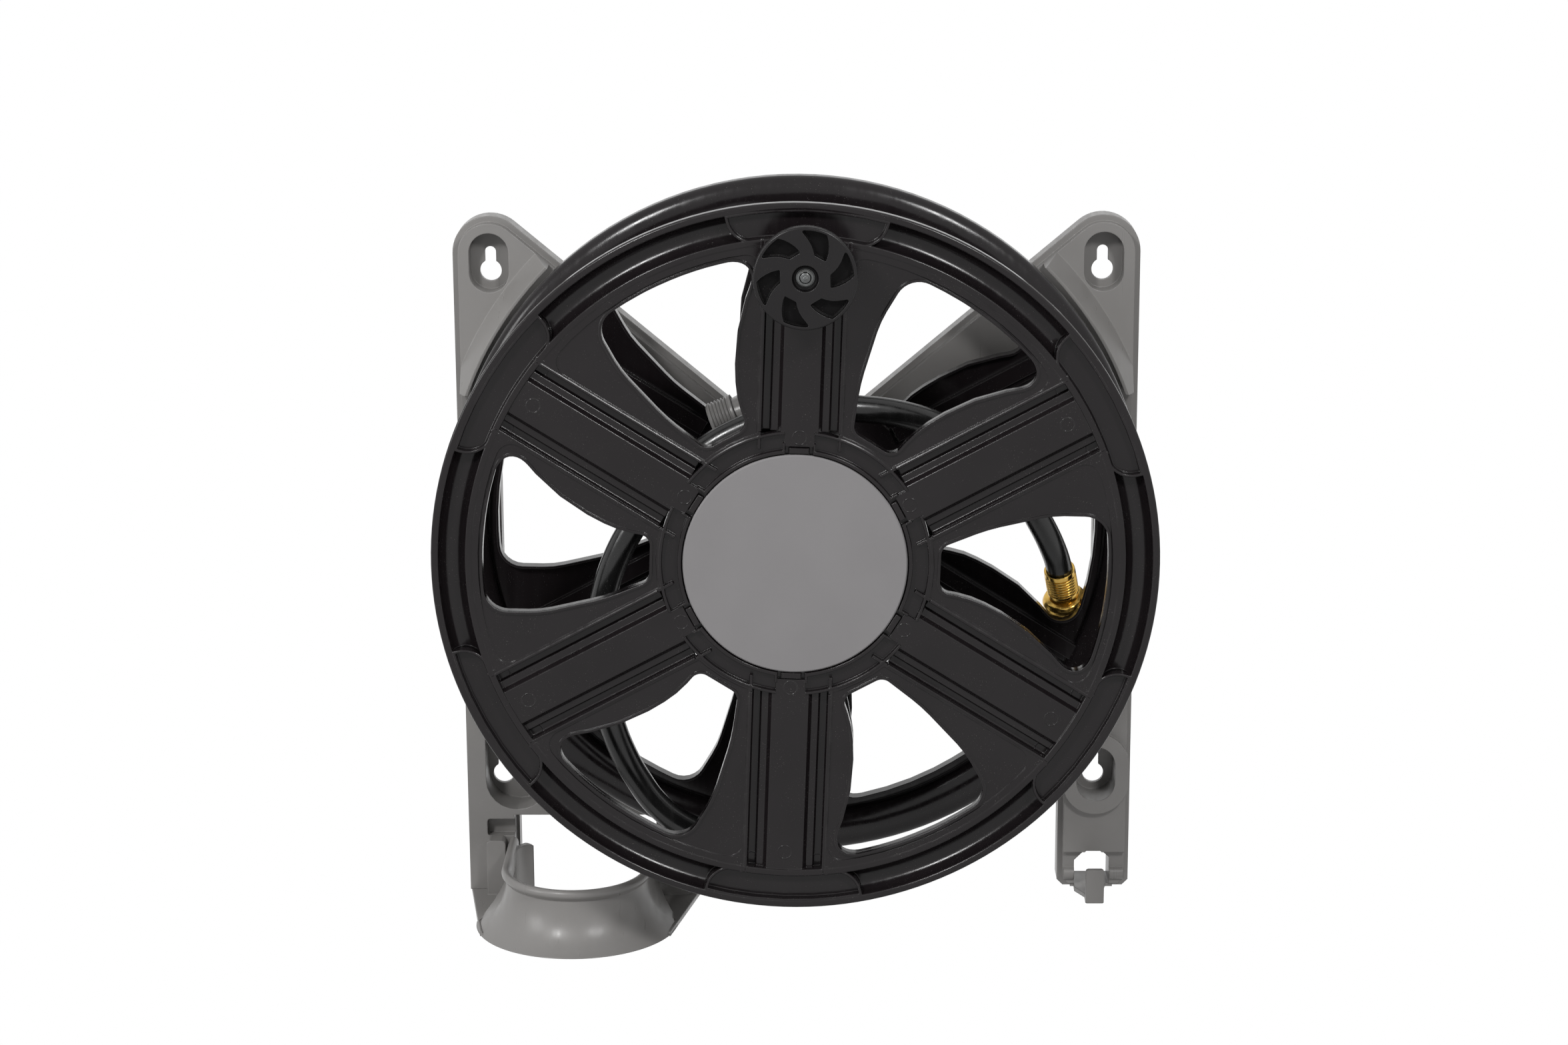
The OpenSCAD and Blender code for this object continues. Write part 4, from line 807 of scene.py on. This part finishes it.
bmesh.ops.delete(knob, geom=[face for face in knob.faces if in_face(face)], context="FACES")
put(knob, cup(swirl, 4.2, 0.6, 1.6), [about_axis(spoke_step * k) for k in range(spokes)])
mouths = [edge for edge in knob.edges if edge.is_boundary and in_face(edge)]
bmesh.ops.triangle_fill(knob, use_beauty=True, use_dissolve=False, edges=mouths)
knob_place = (knob_spot[0] * MM, -0.210, knob_spot[1] * MM)
at_knob = Matrix.Translation(knob_place) @ Matrix.Diagonal((MM, MM, MM, 1))
bmesh.ops.transform(knob, matrix=at_knob, verts=knob.verts)
knob_wheel = as_piece(knob, "crank_knob_wheel", ["crank_knob"])

# %% Knob finishes
knob_wheel.data.materials[0] = knob_plastic
# The second finish is the pockets' darker black, which paints the shade inside them.
knob_wheel.data.materials.append(pocket_shade_plastic)
# Pocket faces lie within this radius, and between these two planes across the axis.
pocket_r, pocket_front, pocket_back = 30.5 * MM, -0.2097, -0.2035
for face in knob_wheel.data.polygons:
    off_axis = math.hypot(face.center.x - knob_place[0], face.center.z - knob_place[2])
    if off_axis < pocket_r and pocket_front < face.center.y < pocket_back:
        face.material_index = 1
print("matt faces:", sum(face.material_index for face in knob_wheel.data.polygons))

# %% [markdown]
# ## The knob's screw
# The screw that holds the knob has a flanged head with a six-lobed socket. The head is spun
# from one section. A small lobed plate in its middle stands for the socket, because a real hole
# of that size would hardly show.

# %% Knob screw
screw = spun([
    (0.01, 37, 0), (2.4, 36, 0), (2.4, 4.4, 0), (5.3, 4.4, 0), (5.3, 3.8, 0.3), (3.6, 3.6, 0.3),
    (3.3, 2.4, 0.8), (2, 2, 0.4), (0.01, 1.95, 0),
], steps=48)
lobe = [(*polar(1.7 if k % 2 == 0 else 0.9, 30 * k), 0.25) for k in range(12)]
put(screw, plate(lobe, 1.7, 0.5, 0.15))
bmesh.ops.transform(screw, matrix=at_knob, verts=screw.verts)
as_piece(screw, "knob_screw_head", ["knob_screw"])

# %% [markdown]
# ## The brass hose ends
# A crimped ferrule is a thin brass tube that is squeezed into rings round the hose. The nut that
# follows it has a round shoulder, a narrow knurled band for the fingers and a plain skirt. All
# of them are turned parts, so each is one section that is spun, and then laid along the hose.

# %% Ferrules
def laid_along(point, direction):
    """Moves a turned part, drawn along +y in millimetres, on to a line in space."""
    facing = Vector(direction).normalized().to_track_quat("Y", "Z").to_matrix().to_4x4()
    return Matrix.Translation(point) @ facing @ Matrix.Diagonal((MM, MM, MM, 1))


def ferrule(length, rings, lip):
    """A crimped tube: a plain lip, round rings, and a plain end."""
    bore, groove, crest = 8.8, 9.4, 10.55
    section = [(bore, 0, 0), (10.3, 0, 0.3), (crest, lip, 0.5), (groove, lip + 0.5, 0.2)]
    step = (length - lip - 3.4) / rings
    for k in range(rings):
        start = lip + 0.5 + k * step
        section += [(crest, start + step * 0.30, 0.35), (crest, start + step * 0.66, 0.35)]
        section += [(groove, start + step, 0.2)]
    section += [(crest, length - 2.5, 0.4), (crest, length - 0.4, 0.4)]
    section += [(9.9, length, 0.2), (bore, length, 0)]
    return spun(section, steps=72)


end_length, turned_sharp = 20, 40
hose_way = (route[-1] - route[-2]).normalized()
bm = ferrule(end_length, 6, 3.4)
at_end = laid_along(route[-1] - hose_way * (end_length * MM), hose_way)
bmesh.ops.transform(bm, matrix=at_end, verts=bm.verts)
end_ferrule = as_piece(bm, "end_ferrule_rings", ["end_ferrule"], turned_sharp)
inlet_way = (route[1] - route[0]).normalized()
bm = ferrule(13, 3, 2.5)
bmesh.ops.transform(bm, matrix=laid_along(route[0], inlet_way), verts=bm.verts)
inlet_ferrule = as_piece(bm, "inlet_ferrule_rings", ["inlet_ferrule"], turned_sharp)
hose_tail = smooth_copy("hose_tail")

# %% [markdown]
# ## The swivel nut
# The nut turns freely on the hose's tail. Its knurl could be a bump map, but the teeth show in
# the outline, so one small plate is put round the band 72 times.

# %% Swivel nut
teeth = 72
nut = spun([
    (8.1, 2.8, 0), (10.4, 2.8, 0.6), (13.4, 3.6, 2), (14.9, 6.2, 2.2), (14.9, 8.8, 1),
    (13.9, 9.8, 0.3), (14.6, 10.4, 0.3), (14.6, 13.4, 0.3), (13.9, 13.8, 0.4), (13.8, 21.4, 0.5),
    (13, 21.4, 0), (13, 7.7, 0), (8.1, 7.7, 0),
], steps=96)
tooth = plate([(14.3, -0.3, 0), (14.9, -0.16, 0.1), (14.9, 0.16, 0.1), (14.3, 0.3, 0)], 10.5, 2.8)
put(nut, tooth, [about_axis(360 / teeth * k) for k in range(teeth)])
bmesh.ops.transform(nut, matrix=laid_along(route[-1], hose_way), verts=nut.verts)
swivel_nut = as_piece(nut, "swivel_nut_knurled", ["swivel_nut"], turned_sharp)

# %% [markdown]
# ## The hose
# The real hose can be laid in many ways, and it is only drawn in one. It is a free cord of a
# fixed length, with its brass fittings on it.

# %% [markdown]
# ## The white room
# The reel hangs on its wall well above a plain pale floor. The floor fades to white away from
# the reel. The sky is white where the camera, a reflection or a clear part sees it, and a darker
# grey where it only lights the reel. Three soft lamps model the forms.

# %% Rays that see the white
def background_rays(tree):
    """1 for a ray from the camera, a reflection or a clear part, and 0 for any other."""
    path = tree.nodes.new("ShaderNodeLightPath")
    seen = maths(tree, "MAXIMUM", path.outputs["Is Camera Ray"], path.outputs["Is Glossy Ray"])
    return maths(tree, "MAXIMUM", seen.outputs[0], path.outputs["Is Transmission Ray"])


def mix_shaders(tree, factor, first, second, output):
    both = tree.nodes.new("ShaderNodeMixShader")
    for socket, source in enumerate((factor, first, second)):
        wire(tree, source, 0, both, socket)
    wire(tree, both, 0, tree.nodes[output], 0)


# %% [markdown]
# ## The floor
# The floor is one big square, well below the reel. A shadow catcher would depend on the render
# engine's settings, so the floor's own material fades to white with the distance instead.

# %% Floor
floor_level, floor_reach = -1.1, 12
bm = bmesh.new()
bmesh.ops.create_grid(
    bm, x_segments=1, y_segments=1, size=floor_reach,
    matrix=Matrix.Translation((0, 0, floor_level)),
)
floor_mesh = bpy.data.meshes.new("floor")
bm.to_mesh(floor_mesh)
bm.free()
floor = bpy.data.objects.new("floor", floor_mesh)
bpy.context.scene.collection.objects.link(floor)
print("floor is", floor_level, "m below the drum's axis")

# %% Finish of the floor
pale_floor = bpy.data.materials.new("pale_floor")
pale_floor.use_nodes = True
tree = pale_floor.node_tree
ground = tree.nodes["Principled BSDF"]
ground.inputs["Base Color"].default_value = (0.86, 0.86, 0.86, 1)
ground.inputs["Roughness"].default_value = 0.9
white = tree.nodes.new("ShaderNodeEmission")
white.inputs["Color"].default_value = (1, 1, 1, 1)
where = tree.nodes.new("ShaderNodeTexCoord")
reach = tree.nodes.new("ShaderNodeVectorMath")
reach.operation = "LENGTH"
wire(tree, where, "Object", reach, 0)
fade = ramp(tree, reach, "Value", low=1.3, high=1.9)
faded = maths(tree, "MULTIPLY", fade.outputs[0], background_rays(tree).outputs[0])
mix_shaders(tree, faded, ground, white, "Material Output")
floor_mesh.materials.append(pale_floor)
print("floor fades to white")

# %% [markdown]
# ## The sky
# The world gives an even, dim light, as a white room would. A picture of a studio could light
# the reel too, but a plain colour needs no file and leaves no strange shapes in the plating.

# %% Sky
world = bpy.data.worlds.new("studio")
bpy.context.scene.world = world
world.use_nodes = True
tree = world.node_tree
sky = tree.nodes["Background"]
sky.inputs["Color"].default_value = (0.33, 0.33, 0.33, 1)
backdrop = tree.nodes.new("ShaderNodeBackground")
backdrop.inputs["Color"].default_value = (1, 1, 1, 1)
mix_shaders(tree, background_rays(tree), sky, backdrop, "World Output")
print("sky is ready")

# %% [markdown]
# ## The lamps
# Two lamps stand in front, to the left and right, and a larger, weaker one lights the side.
# Sun lamps would be simpler, but rectangles give the soft highlights of a studio.

# %% Lamps
def soft_lamp(name, place, size, power):
    """A rectangular lamp that is aimed at the middle of the drum."""
    lamp = bpy.data.lights.new(name, "AREA")
    lamp.shape = "RECTANGLE"
    lamp.size, lamp.size_y = size
    lamp.energy = power
    holder = bpy.data.objects.new(name, lamp)
    facing = (-Vector(place)).to_track_quat("-Z", "Y").to_matrix().to_4x4()
    holder.matrix_world = Matrix.Translation(place) @ facing
    bpy.context.scene.collection.objects.link(holder)
    return holder


lamps = [
    soft_lamp("left_lamp", (-0.95, -1.6, 1.35), size=(0.3, 0.34), power=20),
    soft_lamp("right_lamp", (0.85, -1.6, 1.35), size=(0.3, 0.34), power=16.5),
    soft_lamp("side_lamp", (-1.6, -0.9, 0.5), size=(0.4, 0.7), power=8),
]
bpy.context.scene.view_settings.view_transform = "Standard"
print("lamps:", [lamp.name for lamp in lamps])
